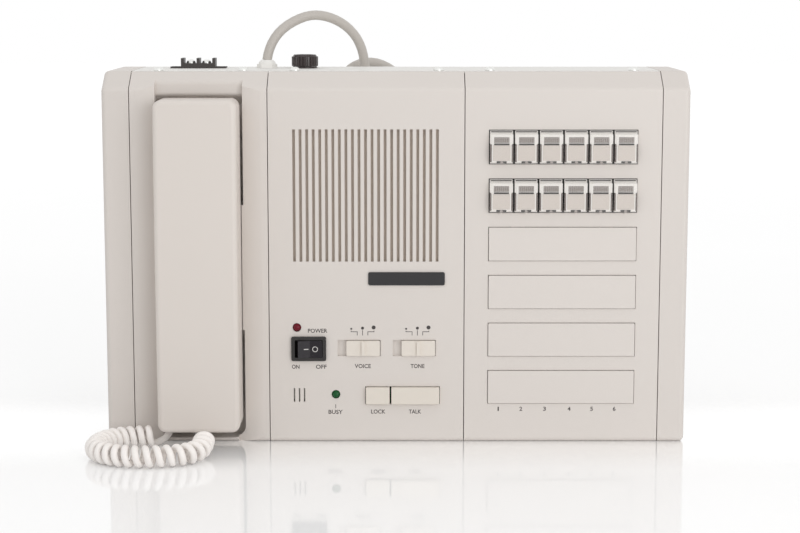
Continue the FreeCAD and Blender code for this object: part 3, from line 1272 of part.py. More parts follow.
def terminal_parts():
    x = X_CRADLE + TERMINAL_X
    y0 = PANEL_ROW_Y - TERMINAL_DEEP / 2
    y1 = PANEL_ROW_Y + TERMINAL_DEEP / 2
    z = HEIGHT + TOUCH / 2
    flange = box(x - TERMINAL_LONG / 2, x + TERMINAL_LONG / 2, y0, y1, z, z + 1.0)
    core = TERMINAL_PITCH + TERMINAL_WALL / 2
    base = box(x - core, x + core, y0, y1, z, z + TERMINAL_BASE)
    walls = []
    for k in (-1, 0, 1):
        wall_x = x + k * TERMINAL_PITCH
        walls.append(box(wall_x - TERMINAL_WALL / 2, wall_x + TERMINAL_WALL / 2, y0, y1, z,
            z + TERMINAL_WALL_HIGH))
    tags = box(x - TERMINAL_PITCH, x + TERMINAL_PITCH, PANEL_ROW_Y - 3, PANEL_ROW_Y + 3,
        z - SHEET - TERMINAL_TAG_LONG, z + 1)
    block_body = fuse([flange, base, tags] + walls)
    screws = []
    for k in (-0.5, 0.5):
        sx = x + k * TERMINAL_PITCH
        block_body = block_body.cut(rod_z(sx, PANEL_ROW_Y, SCREW_R + TOUCH, z - 4, z + TERMINAL_BASE + 1))
        head = pan_screw(SCREW_HEAD_R - 0.2, 5.0, True)
        screws.append(placed(head, V(sx, PANEL_ROW_Y, z + TERMINAL_BASE + TOUCH / 2), V(0, 0, 1)))
    save("terminal_block", block_body)
    save("terminal_screws", *screws)


def ribbed_outline(x, y, r, ribs, z):
    """A round outline whose edge has shallow flat-bottomed grooves."""
    points = []
    for k in range(ribs):
        for fraction, radius in ((0.0, r), (0.45, r), (0.6, r - 0.5), (0.85, r - 0.5)):
            a = 2 * math.pi * (k + fraction) / ribs
            points.append(V(x + radius * math.cos(a), y + radius * math.sin(a), z))
    return Part.Face(Part.makePolygon(points + [points[0]]))


def fuse_parts():
    """The fuse holder under the panel and its ribbed bayonet cap."""
    x = X_CRADLE + FUSE_X
    y = PANEL_ROW_Y
    z = HEIGHT + TOUCH / 2
    inside = HEIGHT - SHEET - TOUCH
    flange = rod_z(x, y, FUSE_CAP_R - 0.6, z, z + 1.0)
    body = rod_z(x, y, FUSE_BODY_R, z - FUSE_BODY_LONG, z + 0.5)
    nut = rod_z(x, y, FUSE_BODY_R + 2.5, inside - 3, inside)
    bore = rod_z(x, y, FUSE_BODY_R - 2.0, z - FUSE_BODY_LONG + 4, z + 2)
    save("fuse_holder", fuse([flange, body, nut]).cut(bore))
    base = z + 1.0 + FIT
    grip = ribbed_outline(x, y, FUSE_CAP_R, FUSE_RIBS, base).extrude(V(0, 0, FUSE_CAP_HIGH - 1.2))
    crown_profile = [(0, 0), (FUSE_CAP_R - 0.6, 0), (FUSE_CAP_R - 1.4, 1.2), (FUSE_CAP_R - 2.6, 1.2),
                     (FUSE_CAP_R - 3.0, 0.7), (0, 0.7)]
    crown = revolved(crown_profile, V(x, y, base + FUSE_CAP_HIGH - 1.2), V(0, 0, 1), V(1, 0, 0))
    stem = rod_z(x, y, FUSE_BODY_R - 2.0 - FIT, base - FUSE_STEM_LONG, base + 1)
    driver = box(x - 3.2, x + 3.2, y - 0.5, y + 0.5, base + FUSE_CAP_HIGH - 1.3, base + FUSE_CAP_HIGH + 1)
    save("fuse_cap", fuse([grip, crown, stem]).cut(driver))


def cable_gland():
    """The gland in the rear panel that the station cable comes out of."""
    x = X_CRADLE + GLAND_X
    z = HEIGHT + TOUCH / 2
    corners = []
    for k in range(6):
        a = math.radians(60 * k)
        corners.append((x + GLAND_R * math.cos(a), PANEL_ROW_Y + GLAND_R * math.sin(a), 0.6))
    hexagon = plan_prism(corners, z, z + 2.4)
    dome_profile = [(0, 0), (GLAND_R - 1.2, 0), (GLAND_R - 1.4, 1.2), (STATION_R + 0.8, GLAND_HIGH - 2.4),
                    (0, GLAND_HIGH - 2.4)]
    dome = revolved(dome_profile, V(x, PANEL_ROW_Y, z + 2.4), V(0, 0, 1), V(1, 0, 0))
    thread = rod_z(x, PANEL_ROW_Y, GLAND_R - 1.5, z - SHEET - GLAND_THREAD_LONG, z + 1)
    inside = HEIGHT - SHEET - TOUCH
    nut = rod_z(x, PANEL_ROW_Y, GLAND_R + 0.5, inside - 3, inside)
    save("cable_gland", fuse([hexagon, dome, thread, nut]))


# Cords

def biarc(p0, t0, p1, t1):
    """Two arcs that leave p0 along t0 and reach p1 along t1, as edges with their radii."""
    v = p1 - p0
    t = t0 + t1
    k = 2 * (1 - t0.dot(t1))
    if k < 1e-9:
        d = v.dot(v) / (2 * v.dot(t))
    else:
        d = (-v.dot(t) + math.sqrt(v.dot(t) ** 2 + k * v.dot(v))) / k
    joint = (p0 + p1 + (t0 - t1) * d) * 0.5
    first = tangent_arc(p0, p0 + t0 * d, joint)
    second = tangent_arc(joint, p1 - t1 * d, p1)
    return [first, second]


def tangent_arc(start, corner, end):
    """The arc from start to end whose end tangents meet at corner, with its radius."""
    middle = (start + end) * 0.5
    half_chord = (end - start).Length / 2
    height = (corner - middle).Length
    if height < 1e-7:
        return Part.makeLine(start, end), 1e9
    half_turn = math.atan2(height, half_chord)
    sagitta = half_chord * math.tan(half_turn / 2)
    over = middle + (corner - middle) * (sagitta / height)
    return Part.Arc(start, over, end).toShape(), half_chord / math.sin(half_turn)


def pipe(edges, radius, start, direction):
    """A round tube along edges that follow one another."""
    wire = Part.Wire(edges)
    section = Part.Wire([Part.makeCircle(radius, start, direction)])
    tube = wire.makePipeShell([section], True, False)
    return Part.Solid(tube) if tube.ShapeType == "Shell" else tube


def report_tube(name, tube, edges, radius, radii):
    length = sum(e.Length for e in edges)
    expected = math.pi * radius ** 2 * length
    print(f"{name}: length {length:.1f}, radii {min(radii):.1f} to {max(radii):.1f},"
          f" volume over section times length {tube.Volume / expected:.4f}")


def rounded_route(points):
    """Straight runs through the points, joined by arcs as large as their runs allow."""
    edges = []
    radii = []
    at = points[0]
    for i in range(1, len(points) - 1):
        before = points[i] - points[i - 1]
        after = points[i + 1] - points[i]
        shorter = min(before.Length, after.Length)
        reach = 0.45 * shorter
        half_turn = before.getAngle(after) / 2
        before.normalize()
        after.normalize()
        start = points[i] - before * reach
        end = points[i] + after * reach
        edges.append(Part.makeLine(at, start))
        arc, radius = tangent_arc(start, points[i], end)
        edges.append(arc)
        radii.append(reach / math.tan(half_turn))
        at = end
    edges.append(Part.makeLine(at, points[-1]))
    return edges, radii


def points_along(edges, step):
    """Points along edges, at most step apart, with each edge's own start first."""
    points = []
    for edge in edges:
        count = max(2, int(edge.Length / step) + 1)
        points += edge.discretize(count)[:-1]
    return points


def least_gap(edges, radius, step, skip):
    """The smallest gap between two stretches of one tube that are more than skip apart along it."""
    points = points_along(edges, step)
    best = 1e9
    ahead = int(skip / step)
    for i in range(len(points)):
        for j in range(i + ahead, len(points)):
            best = min(best, points[i].distanceToPoint(points[j]))
    return best - 2 * radius


STATION_ROUTE = [
    (-80.2, 32.0, 229.0), (-80.2, 32.0, 241.5), (-73.5, 36.5, 254.5), (-59.5, 44.5, 261.0),
    (-44.0, 53.0, 260.5), (-30.5, 61.0, 252.5), (-22.5, 66.5, 238.5), (-19.5, 69.5, 222.0),
    (-19.5, 71.0, 207.0), (-20.5, 72.5, 193.0), (-19.0, 75.0, 179.5), (-12.5, 81.0, 168.5),
    (-3.0, 89.5, 163.5), (7.2, 99.0, 166.5), (13.8, 106.0, 177.8), (13.8, 107.5, 193.0),
    (8.0, 106.0, 209.5), (-3.5, 100.5, 221.5), (-18.0, 92.5, 226.8), (-32.0, 83.5, 221.5),
    (-39.5, 77.5, 207.5), (-43.0, 74.0, 189.5), (-45.3, 72.0, 167.0), (-46.0, 71.6, 139.0),
    (-46.2, 72.2, 109.0), (-46.4, 73.5, 80.0), (-46.6, 77.0, 55.5), (-46.6, 85.0, 34.0),
    (-46.5, 97.5, 17.0), (-46.5, 113.0, 6.5), (-46.5, 128.0, 3.1),
]
CURL_AXIS = [
    (-146.0, -39.5), (-159.0, -40.0), (-171.0, -47.5), (-176.5, -61.0), (-175.0, -75.5), (-164.0, -87.0),
    (-148.0, -91.0), (-132.0, -89.5), (-118.5, -83.5), (-112.3, -71.5), (-113.3, -57.5),
]
CURL_END_RISE = 4.0
CURL_STRETCH_AT = (-138.0, -90.0)
CURL_STRETCH_HALF = 34.0
CURL_TAIL_LONG = 12.0
def coil_outer_r():
    return COIL_INNER_R + COIL_TURNS * COIL_PITCH


def station_cable():
    """The multicore cable from the gland, over an arch and one loose turn, down to the floor."""
    points = [V(*p) for p in STATION_ROUTE]
    points[0] = V(X_CRADLE + GLAND_X, PANEL_ROW_Y, HEIGHT + TOUCH / 2 + GLAND_HIGH)
    floor = STATION_R + FLOOR_CLEAR
    points.append(V(COIL_X - coil_outer_r(), COIL_Y, floor))
    edges, radii = rounded_route(points)
    tube = pipe(edges, STATION_R, points[0], points[1] - points[0])
    report_tube("station cable", tube, edges, STATION_R, radii)
    print("station cable bends:", " ".join(f"{r:.0f}" for r in radii))
    save("station_cable", tube)


def coil_point(turn):
    """A point of the put-away coil: in along the floor, up a layer in half a turn, and out again."""
    floor = STATION_R + FLOOR_CLEAR
    if turn <= COIL_TURNS:
        r = coil_outer_r() - turn * COIL_PITCH
        z = floor
    elif turn <= COIL_TURNS + 0.5:
        share = (turn - COIL_TURNS) / 0.5
        r = COIL_INNER_R
        z = floor + COIL_RISE * (1 - math.cos(math.pi * share)) / 2
    else:
        r = COIL_INNER_R + (turn - COIL_TURNS - 0.5) * COIL_PITCH
        z = floor + COIL_RISE
    a = math.pi - 2 * math.pi * turn
    return V(COIL_X + r * math.cos(a), COIL_Y + r * math.sin(a), z)


def coil_tangent(turn, total):
    small = 1e-4
    ahead = coil_point(min(turn + small, total))
    behind = coil_point(max(turn - small, 0))
    d = ahead - behind
    d.normalize()
    return d


def station_coil():
    """The put-away length: a spiral in and a spiral out on top of it, then a tail to the plug."""
    total = 2 * COIL_TURNS + 0.5
    steps = int(total * 4)
    lead = V(COIL_X - coil_outer_r(), COIL_Y, STATION_R + FLOOR_CLEAR)
    shift = V(0, COIL_LEAD, 0)
    edges = [Part.makeLine(lead, lead + shift)]
    radii = []
    place = lead + shift
    heading = V(0, 1, 0)
    for k in range(1, steps + 1):
        turn = total * k / steps
        point = coil_point(turn) + shift
        tangent = coil_tangent(turn, total)
        for arc, radius in biarc(place, heading, point, tangent):
            edges.append(arc)
            radii.append(radius)
        place = point
        heading = tangent
    tail = V(place.x - COIL_TAIL_SHIFT, place.y - COIL_TAIL_LONG, STATION_PLUG_Z)
    for arc, radius in biarc(place, heading, tail, V(0, -1, 0)):
        edges.append(arc)
        radii.append(radius)
    end = tail - shift
    edges.append(Part.makeLine(tail, end))
    tube = pipe(edges, STATION_R, lead, V(0, 1, 0))
    report_tube("station coil", tube, edges, STATION_R, radii)
    print(f"station coil: least gap to itself {least_gap(edges, STATION_R, 2.0, 40.0):.2f}")
    save("station_cable_coil", tube)
    station_plug(end)


def station_plug(end):
    """A multi-way connector hood that lies on its side, the cable entering one end."""
    low = STATION_PLUG_Z - STATION_PLUG_WIDE / 2
    top = STATION_PLUG_Z + STATION_PLUG_WIDE / 2
    far_r = STATION_PLUG_CORNER_R
    near_r = STATION_PLUG_CORNER_R / 4
    x0 = end.x - far_r - 1
    x1 = x0 + STATION_PLUG_DEEP
    y1 = end.y - SLEEVE_LONG + CONNECTOR_WALL * 2
    y0 = y1 - STATION_PLUG_LONG
    hood = plan_prism([(x0, y0, far_r), (x1, y0, near_r), (x1, y1, near_r), (x0, y1, far_r)], low, top)
    edges = [e for e in hood.Edges if e.BoundBox.ZLength < 0.01]
    hood = hood.makeFillet(STATION_PLUG_EDGE_R, edges)
    sleeve = Part.makeCylinder(SLEEVE_R, SLEEVE_LONG, V(end.x, end.y - SLEEVE_LONG, end.z), V(0, 1, 0))
    side = CONNECTOR_THICK / 2
    inset = CONNECTOR_WALL * 2.5
    shell = box(x1 - 1, x1 + CONNECTOR_DEEP, y0 + inset, y1 - inset, STATION_PLUG_Z - side,
        STATION_PLUG_Z + side)
    side -= CONNECTOR_WALL
    inset += CONNECTOR_WALL
    mouth = box(x1 + 3, x1 + CONNECTOR_DEEP + 1, y0 + inset, y1 - inset, STATION_PLUG_Z - side,
        STATION_PLUG_Z + side)
    side -= CONNECTOR_WALL
    inset += CONNECTOR_WALL
    tongue = box(x1 + 2, x1 + CONNECTOR_DEEP - 0.5, y0 + inset, y1 - inset, STATION_PLUG_Z - side,
        STATION_PLUG_Z + side)
    save("station_plug", fuse([hood, sleeve, shell.cut(mouth), tongue]))


def curl_axis():
    """The curly cord's centre line on the floor, as edges with running lengths."""
    height = CURL_OUTER_R + FLOOR_CLEAR
    points = [V(x, y, height) for x, y in CURL_AXIS]
    points[-2].z += CURL_END_RISE / 4
    points[-1].z += CURL_END_RISE
    edges, _ = rounded_route(points)
    return edges


def axis_place(edges, s):
    """Point and direction at length s along the edges."""
    for edge in edges:
        if s <= edge.Length or edge is edges[-1]:
            u = edge.getParameterByLength(min(s, edge.Length))
            direction = edge.tangentAt(u)
            return edge.valueAt(u), direction
        s -= edge.Length
    return None


def curl_pitch(point):
    """Curls lie close along the cord, and spread where its front stretch is pulled."""
    away = math.hypot(point.x - CURL_STRETCH_AT[0], point.y - CURL_STRETCH_AT[1]) / CURL_STRETCH_HALF
    if away >= 1:
        return CURL_TIGHT
    return CURL_TIGHT + (CURL_STRETCHED - CURL_TIGHT) * (1 + math.cos(math.pi * away)) / 2


def curl_table(edges):
    """Pairs of turn count and length along the axis, in small steps."""
    total = sum(e.Length for e in edges)
    table = [(0.0, 0.0)]
    s = 0.0
    turns = 0.0
    step = 0.25
    while s < total:
        point, _ = axis_place(edges, s)
        turns += step / curl_pitch(point)
        s += step
        table.append((turns, s))
    return table


def length_at(table, turns):
    for (t0, s0), (t1, s1) in zip(table, table[1:]):
        if t1 >= turns:
            return s0 + (s1 - s0) * (turns - t0) / (t1 - t0)
    return table[-1][1]


def curl_point(edges, table, turns):
    """A point of the curls: they start at the bottom and turn right-handed about the axis."""
    centre, along = axis_place(edges, length_at(table, turns))
    side = V(0, 0, 1).cross(along)
    side.normalize()
    up = along.cross(side)
    a = 2 * math.pi * turns
    return centre - up * (CURL_R * math.cos(a)) + side * (CURL_R * math.sin(a))


def curl_tangent(edges, table, turns):
    small = 1e-3
    d = curl_point(edges, table, turns + small) - curl_point(edges, table, max(turns - small, 0))
    d.normalize()
    return d


def handset_cord():
    """The curly cord: a straight tail at each plug and the curls between them, as one tube."""
    axis = curl_axis()
    table = curl_table(axis)
    curls = int(table[-1][0] * 0.995)
    edges = []
    radii = []
    start = V(CRADLE_PLUG_X, WELL_FLOOR_Y - CRADLE_PLUG_OUT, CRADLE_PLUG_Z)
    place = V(start.x, FACE_Y, start.z)
    heading = V(0, -1, 0)
    edges.append(Part.makeLine(start, place))
    stops = []
    for k in range(4 * curls + 1):
        stops.append((curl_point(axis, table, k / 4), curl_tangent(axis, table, k / 4)))
    level = CURL_WIRE_R + 2 * FLOOR_CLEAR
    plug_z = HANDSET_LIFT - PLUG_OUT
    bend = plug_z - CURL_WIRE_R - level
    stops.append((V(CRADLE_X, HANDSET_PLUG_Y - CURL_TAIL_LONG, level), V(0, 1, 0)))
    for point, tangent in stops:
        for arc, radius in biarc(place, heading, point, tangent):
            edges.append(arc)
            radii.append(radius)
        place = point
        heading = tangent
    turn_y = HANDSET_PLUG_Y - bend
    edges.append(Part.makeLine(place, V(CRADLE_X, turn_y, level)))
    up_start = V(CRADLE_X, turn_y, level)
    up_end = V(CRADLE_X, HANDSET_PLUG_Y, level + bend)
    arc, radius = tangent_arc(up_start, V(CRADLE_X, HANDSET_PLUG_Y, level), up_end)
    edges.append(arc)
    radii.append(radius)
    edges.append(Part.makeLine(up_end, V(CRADLE_X, HANDSET_PLUG_Y, plug_z)))
    tube = pipe(edges, CURL_WIRE_R, start, V(0, -1, 0))
    report_tube("handset cord", tube, edges, CURL_WIRE_R, radii)
    print(f"handset cord: {curls} curls, least gap to itself {least_gap(edges, CURL_WIRE_R, 0.8, 12.0):.2f}")
    save("handset_cord", tube)


def main():
    os.makedirs("parts", exist_ok=True)
    end_cap("left_end_cap", -1)
    end_cap("right_end_cap", 1)
    cradle_cover()
    speaker_cover()
    selector_cover()
    chassis()
    screws_and_feet()
    grille_cloth()
    loudspeaker()
    speaker_clamps()
    microphone()
    amplifier_board()
    selector_board()
    switch_bank("upper_switch_bank", 0)
    switch_bank("lower_switch_bank", 1)
    power_switch()
    save("power_led", led(speaker_x(POWER_LED_X), POWER_LED_Z))
    save("busy_led", led(speaker_x(BUSY_LED_X), BUSY_LED_Z))
    slider("voice_slider", speaker_x(VOICE_X))
    slider("tone_slider", speaker_x(TONE_X))
    slide_switch_bodies()
    push_key("lock_key", LOCK_X, LOCK_WIDE)
    push_key("talk_key", TALK_X, TALK_WIDE)
    key_switch_bodies()
    for row in range(KEY_ROWS):
        for column in range(KEYS_PER_ROW):
            selector_key(row * KEYS_PER_ROW + column + 1, row, column)
    blanking_plates()
    terminal_parts()
    fuse_parts()
    cable_gland()
    handset_parts()
    hook_parts()
    cradle_jack_parts()
    station_cable()
    station_coil()
    handset_cord()


main()
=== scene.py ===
# %% [markdown]
# # An intercom dispatch console
# The console is a wide pale desk unit: a handset in its cradle on the left, a loudspeaker and its
# controls in the middle, and six rows for selector keys on the right. Its construction is loaded
# ready made, as a frame of solids at their real size, and this script gives it its looks.
# Everything is in metres, X to the right, Y to the back and Z up, and the console stands on Z = 0.

# %% Load the frame
import json
import math
import bmesh
import bpy
from mathutils import Matrix, Vector


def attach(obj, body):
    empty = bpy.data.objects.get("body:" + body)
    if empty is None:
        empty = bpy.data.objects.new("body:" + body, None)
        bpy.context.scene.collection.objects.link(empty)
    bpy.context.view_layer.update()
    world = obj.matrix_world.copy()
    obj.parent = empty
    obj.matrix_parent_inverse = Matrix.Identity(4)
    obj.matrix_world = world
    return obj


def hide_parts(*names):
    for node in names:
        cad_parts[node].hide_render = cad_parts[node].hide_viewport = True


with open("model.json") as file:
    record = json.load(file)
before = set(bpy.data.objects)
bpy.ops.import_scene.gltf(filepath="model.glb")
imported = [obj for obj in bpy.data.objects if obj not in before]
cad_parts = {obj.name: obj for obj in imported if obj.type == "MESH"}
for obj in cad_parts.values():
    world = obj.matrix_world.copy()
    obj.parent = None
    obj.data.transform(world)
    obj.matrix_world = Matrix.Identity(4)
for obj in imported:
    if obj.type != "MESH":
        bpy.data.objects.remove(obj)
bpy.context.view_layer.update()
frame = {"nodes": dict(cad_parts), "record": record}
nodes = frame["nodes"]
MM = 0.001

# %% [markdown]
# ## Camera
# The picture is taken from the front, slightly above the console's top edge, with a long lens: the
# sides hardly converge and only a sliver of the sloping shoulder shows. A lens of 85 mm on a
# full-size sensor, 1.15 m away, gives that flat view. The tilt down is small, so the upright edges
# stay almost parallel.

# %% Camera
LENS = 85.2
CAMERA_PLACE = (0.0024, -1.151, 0.271)
CAMERA_TILT_DOWN = 8.26

camera_data = bpy.data.cameras.new("camera")
camera_data.lens = LENS
camera_data.sensor_width = 36.0
camera_data.dof.use_dof = False
camera = bpy.data.objects.new("camera", camera_data)
camera.location = CAMERA_PLACE
camera.rotation_euler = (math.radians(90 - CAMERA_TILT_DOWN), 0, 0)
bpy.context.scene.collection.objects.link(camera)
bpy.context.scene.camera = camera
print("camera at", CAMERA_PLACE)

# %% [markdown]
# ## Building materials from nodes
# Every finish here starts from the same wish: a colour that drifts a little over the surface, a
# roughness that does too, and a fine grain in the normal. A shader node group holds that once, with
# named inputs, and each material places it with its own values. The Principled shader stays in the
# material itself, and what is the same all over the surface is written on its own sockets.

# %% Colour and node helpers


def tone(red, green, blue):
    """A linear colour from the 0 to 255 values that a picture shows."""
    linear = []
    for value in (red, green, blue):
        share = value / 255
        linear.append(share / 12.92 if share <= 0.04045 else ((share + 0.055) / 1.055) ** 2.4)
    return (*linear, 1.0)


def add_node(tree, kind, **settings):
    """A node of that kind; a setting names an attribute, or an input if it starts with in_."""
    node = tree.nodes.new(kind)
    for name, value in settings.items():
        if name.startswith("in_"):
            node.inputs[name[3:].replace("_", " ")].default_value = value
        else:
            setattr(node, name, value)
    return node


def new_group(name, inputs, outputs):
    """An empty shader node group with named sockets, given as (name, socket kind, default)."""
    group = bpy.data.node_groups.new(name, "ShaderNodeTree")
    for title, kind, default in inputs:
        socket = group.interface.new_socket(name=title, in_out="INPUT", socket_type=kind)
        socket.default_value = default
    for title, kind in outputs:
        group.interface.new_socket(name=title, in_out="OUTPUT", socket_type=kind)
    return group, group.nodes.new("NodeGroupInput"), group.nodes.new("NodeGroupOutput")


# %% [markdown]
# ## The moulded skin
# A moulded plastic housing comes out of a steel mould whose face was lightly spark eroded. Up close
# its surface is a field of tiny rounded pits, which spread the highlights, and its colour is even
# apart from a faint drift. An image texture could hold that, but noise in Object coordinates has no
# seams and no stretching, so two noises do it here: a fine one for the pits and a broad one for the
# drift.

# %% Moulded skin group


def make_skin_group():
    group, given, out = new_group(
        "moulded_skin",
        [
            ("Color", "NodeSocketColor", (0.8, 0.8, 0.8, 1)),
            ("Drift", "NodeSocketFloat", 0.03),
            ("Roughness", "NodeSocketFloat", 0.45),
            ("Grain Scale", "NodeSocketFloat", 2200.0),
            ("Grain Depth", "NodeSocketFloat", 0.15),
        ],
        [
            ("Color", "NodeSocketColor"),
            ("Roughness", "NodeSocketFloat"),
            ("Normal", "NodeSocketVector"),
        ],
    )
    link = group.links.new
    where = add_node(group, "ShaderNodeTexCoord")
    broad = add_node(group, "ShaderNodeTexNoise", in_Scale=9.0, in_Detail=3.0)
    fine = add_node(group, "ShaderNodeTexNoise", in_Detail=2.0)
    link(where.outputs["Object"], broad.inputs["Vector"])
    link(where.outputs["Object"], fine.inputs["Vector"])
    link(given.outputs["Grain Scale"], fine.inputs["Scale"])
    centred = add_node(group, "ShaderNodeMath", operation="SUBTRACT")
    centred.inputs[1].default_value = 0.5
    link(broad.outputs["Fac"], centred.inputs[0])
    swing = add_node(group, "ShaderNodeMath", operation="MULTIPLY")
    link(centred.outputs[0], swing.inputs[0])
    link(given.outputs["Drift"], swing.inputs[1])
    level = add_node(group, "ShaderNodeMath", operation="ADD")
    level.inputs[1].default_value = 1.0
    link(swing.outputs[0], level.inputs[0])
    tinted = add_node(group, "ShaderNodeVectorMath", operation="SCALE")
    link(given.outputs["Color"], tinted.inputs[0])
    link(level.outputs[0], tinted.inputs["Scale"])
    link(tinted.outputs[0], out.inputs["Color"])
    rough = add_node(group, "ShaderNodeMath", operation="MULTIPLY_ADD")
    link(centred.outputs[0], rough.inputs[0])
    rough.inputs[1].default_value = 0.12
    link(given.outputs["Roughness"], rough.inputs[2])
    link(rough.outputs[0], out.inputs["Roughness"])
    bump = add_node(group, "ShaderNodeBump", in_Distance=0.00004)
    link(given.outputs["Grain Depth"], bump.inputs["Strength"])
    link(fine.outputs["Fac"], bump.inputs["Height"])
    link(bump.outputs["Normal"], out.inputs["Normal"])
    return group


SKIN = make_skin_group()


def moulded(name, color, roughness=0.45, drift=0.03, grain_scale=2200.0, grain_depth=0.15):
    """A material with the moulded skin."""
    material = bpy.data.materials.new(name)
    material.use_nodes = True
    tree = material.node_tree
    shader = tree.nodes["Principled BSDF"]
    skin = add_node(tree, "ShaderNodeGroup", node_tree=SKIN)
    skin.inputs["Color"].default_value = color
    skin.inputs["Drift"].default_value = drift
    skin.inputs["Roughness"].default_value = roughness
    skin.inputs["Grain Scale"].default_value = grain_scale
    skin.inputs["Grain Depth"].default_value = grain_depth
    tree.links.new(skin.outputs["Color"], shader.inputs["Base Color"])
    for socket in ("Roughness", "Normal"):
        tree.links.new(skin.outputs[socket], shader.inputs[socket])
    return material


print("skin group:", len(SKIN.nodes), "nodes")

# %% [markdown]
# ## Cords: the line comes first
# A cord has one centre line, and that line is a NURBS spline through a few control points in the
# order in which a person would lay it: out of its gland, over, down, along the desk. The curve's
# own bevel turns the line into a round cable. Order 3 is a smooth curve, and it is set after the
# points are added, since a spline with too few points would not take it.

# %% Curve helpers


def nurbs_curve(name, points, radius=0.0, sides=5, steps=4):
    """A curve object with one smooth open spline from the points, round if it has a radius."""
    data = bpy.data.curves.new(name, "CURVE")
    data.dimensions = "3D"
    data.resolution_u = steps
    data.bevel_depth = 1.0 if radius > 0 else 0.0
    data.bevel_resolution = sides
    data.use_fill_caps = radius > 0
    spline = data.splines.new("NURBS")
    spline.points.add(len(points) - 1)
    for place, point in zip(spline.points, points):
        place.co = (*point, 1.0)
        place.radius = radius
    spline.order_u = 3
    spline.use_endpoint_u = True
    piece = bpy.data.objects.new(name, data)
    bpy.context.scene.collection.objects.link(piece)
    return piece


def line_of(points):
    """Points along the smooth line that the control points give."""
    guide = nurbs_curve("guide", points, steps=24)
    mesh = bpy.data.meshes.new_from_object(guide)
    line = [vertex.co.copy() for vertex in mesh.vertices]
    bpy.data.objects.remove(guide)
    bpy.data.meshes.remove(mesh)
    return line


def metres(points):
    """Places given in millimetres, as vectors in metres."""
    return [Vector(point) * MM for point in points]


# %% [markdown]
# ## The station cable
# A thick grey cable carries the stations' pairs. It rises from its gland in the rear panel, goes
# over in an arch and takes one loose turn behind the console, whose top just shows above the rear
# panel. From there it runs down to the desk. The picture doesn't show the rest, so that lies behind
# the console as it would be put away: a flat coil, in along the desk and out again on top of
# itself, ending in the plug.

# %% Station cable
CABLE_R = 3.0 * MM
COIL_CENTRE = (0.0, 147.0)
COIL_INNER = 24.0
COIL_STEP = 7.5
COIL_CLIMB = 6.8
COIL_TURNS = 3
COIL_POINTS = 16
COIL_FLOOR = 3.1

station_route = [
    (-80.2, 32.0, 229.05), (-79.2, 32.0, 236.5), (-71.5, 37.0, 248.5), (-56.5, 45.5, 256.6),
    (-44.0, 53.0, 256.2), (-31.5, 61.0, 250.0), (-22.5, 66.5, 238.5), (-19.5, 69.5, 222.0),
    (-19.5, 71.0, 207.0), (-20.5, 72.5, 193.0), (-19.0, 75.0, 179.5), (-12.5, 81.0, 168.5),
    (-3.0, 89.5, 163.5), (7.2, 99.0, 166.5), (13.8, 106.0, 177.8), (13.8, 107.5, 193.0),
    (8.0, 106.0, 209.5), (-3.5, 100.5, 221.5), (-18.0, 92.5, 226.8), (-32.0, 83.5, 221.5),
    (-39.5, 77.5, 207.5), (-43.0, 74.0, 189.5), (-45.3, 72.0, 167.0), (-46.0, 71.6, 139.0),
    (-46.2, 72.2, 109.0), (-46.4, 73.5, 80.0), (-46.6, 77.0, 55.5), (-46.6, 85.0, 34.0),
    (-46.5, 97.5, 17.0), (-46.5, 113.0, 6.5), (-46.5, 128.0, 3.1), (-46.5, 141.0, 3.1),
]


def coil_points():
    """The put-away turns: a spiral in, half a turn that climbs a layer, and a spiral out above it."""
    spread = 1 / (0.75 + 0.25 * math.cos(2 * math.pi / COIL_POINTS))
    points = []
    total = 2 * COIL_TURNS + 0.5
    for k in range(int(total * COIL_POINTS) + 1):
        turn = k / COIL_POINTS
        inwards = COIL_TURNS - turn
        outwards = turn - COIL_TURNS - 0.5
        radius = COIL_INNER + COIL_STEP * max(inwards, outwards, 0)
        climbed = min(max(turn - COIL_TURNS, 0) / 0.5, 1)
        height = COIL_FLOOR + COIL_CLIMB * (1 - math.cos(math.pi * climbed)) / 2
        angle = math.pi - 2 * math.pi * turn
        across = radius * spread
        x = COIL_CENTRE[0] + across * math.cos(angle)
        points.append((x, COIL_CENTRE[1] + across * math.sin(angle), height))
    return points


cable_tail = [(46.3, 138.0, 9.9), (45.6, 130.0, 9.0), (45.0, 124.0, 8.3), (45.0, 115.0, 8.3)]
cable_line = metres(station_route + coil_points() + cable_tail)
cable = nurbs_curve("station_lead", cable_line, CABLE_R)
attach(cable, "case")
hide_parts("station_cable", "station_cable_coil")
print("station cable:", len(cable.data.splines[0].points), "points")

# %% [markdown]
# ## The handset's curly cord
# A curly cord is a straight flexible cord wound on a rod and baked, so it springs back into curls.
# Its route on the desk is one smooth line, and its curls go round that line. They lie close
# together at both ends and spread along the front, where the cord is pulled out. The curls' points
# are worked out along the route's own smooth line and become the control points of one spline, with
# the straight tails at its two ends.

# %% Curly cord
WIRE_R = 2.0 * MM
CURL_R = 4.6 * MM
CURL_POINTS = 14
CLOSE_PITCH = 5.4 * MM
OPEN_PITCH = 6.2 * MM
OPEN_AT = Vector((-138.0, -90.0, 6.7)) * MM
OPEN_REACH = 34.0 * MM

curl_route = [
    (-146.0, -39.5, 6.7), (-159.0, -40.0, 6.7), (-171.0, -47.5, 6.7), (-176.5, -61.0, 6.7),
    (-175.0, -75.5, 6.7), (-164.0, -87.0, 6.7), (-148.0, -91.0, 6.7), (-132.0, -89.5, 6.7),
    (-118.5, -83.5, 6.7), (-112.3, -71.5, 7.7), (-113.3, -57.5, 10.7),
]


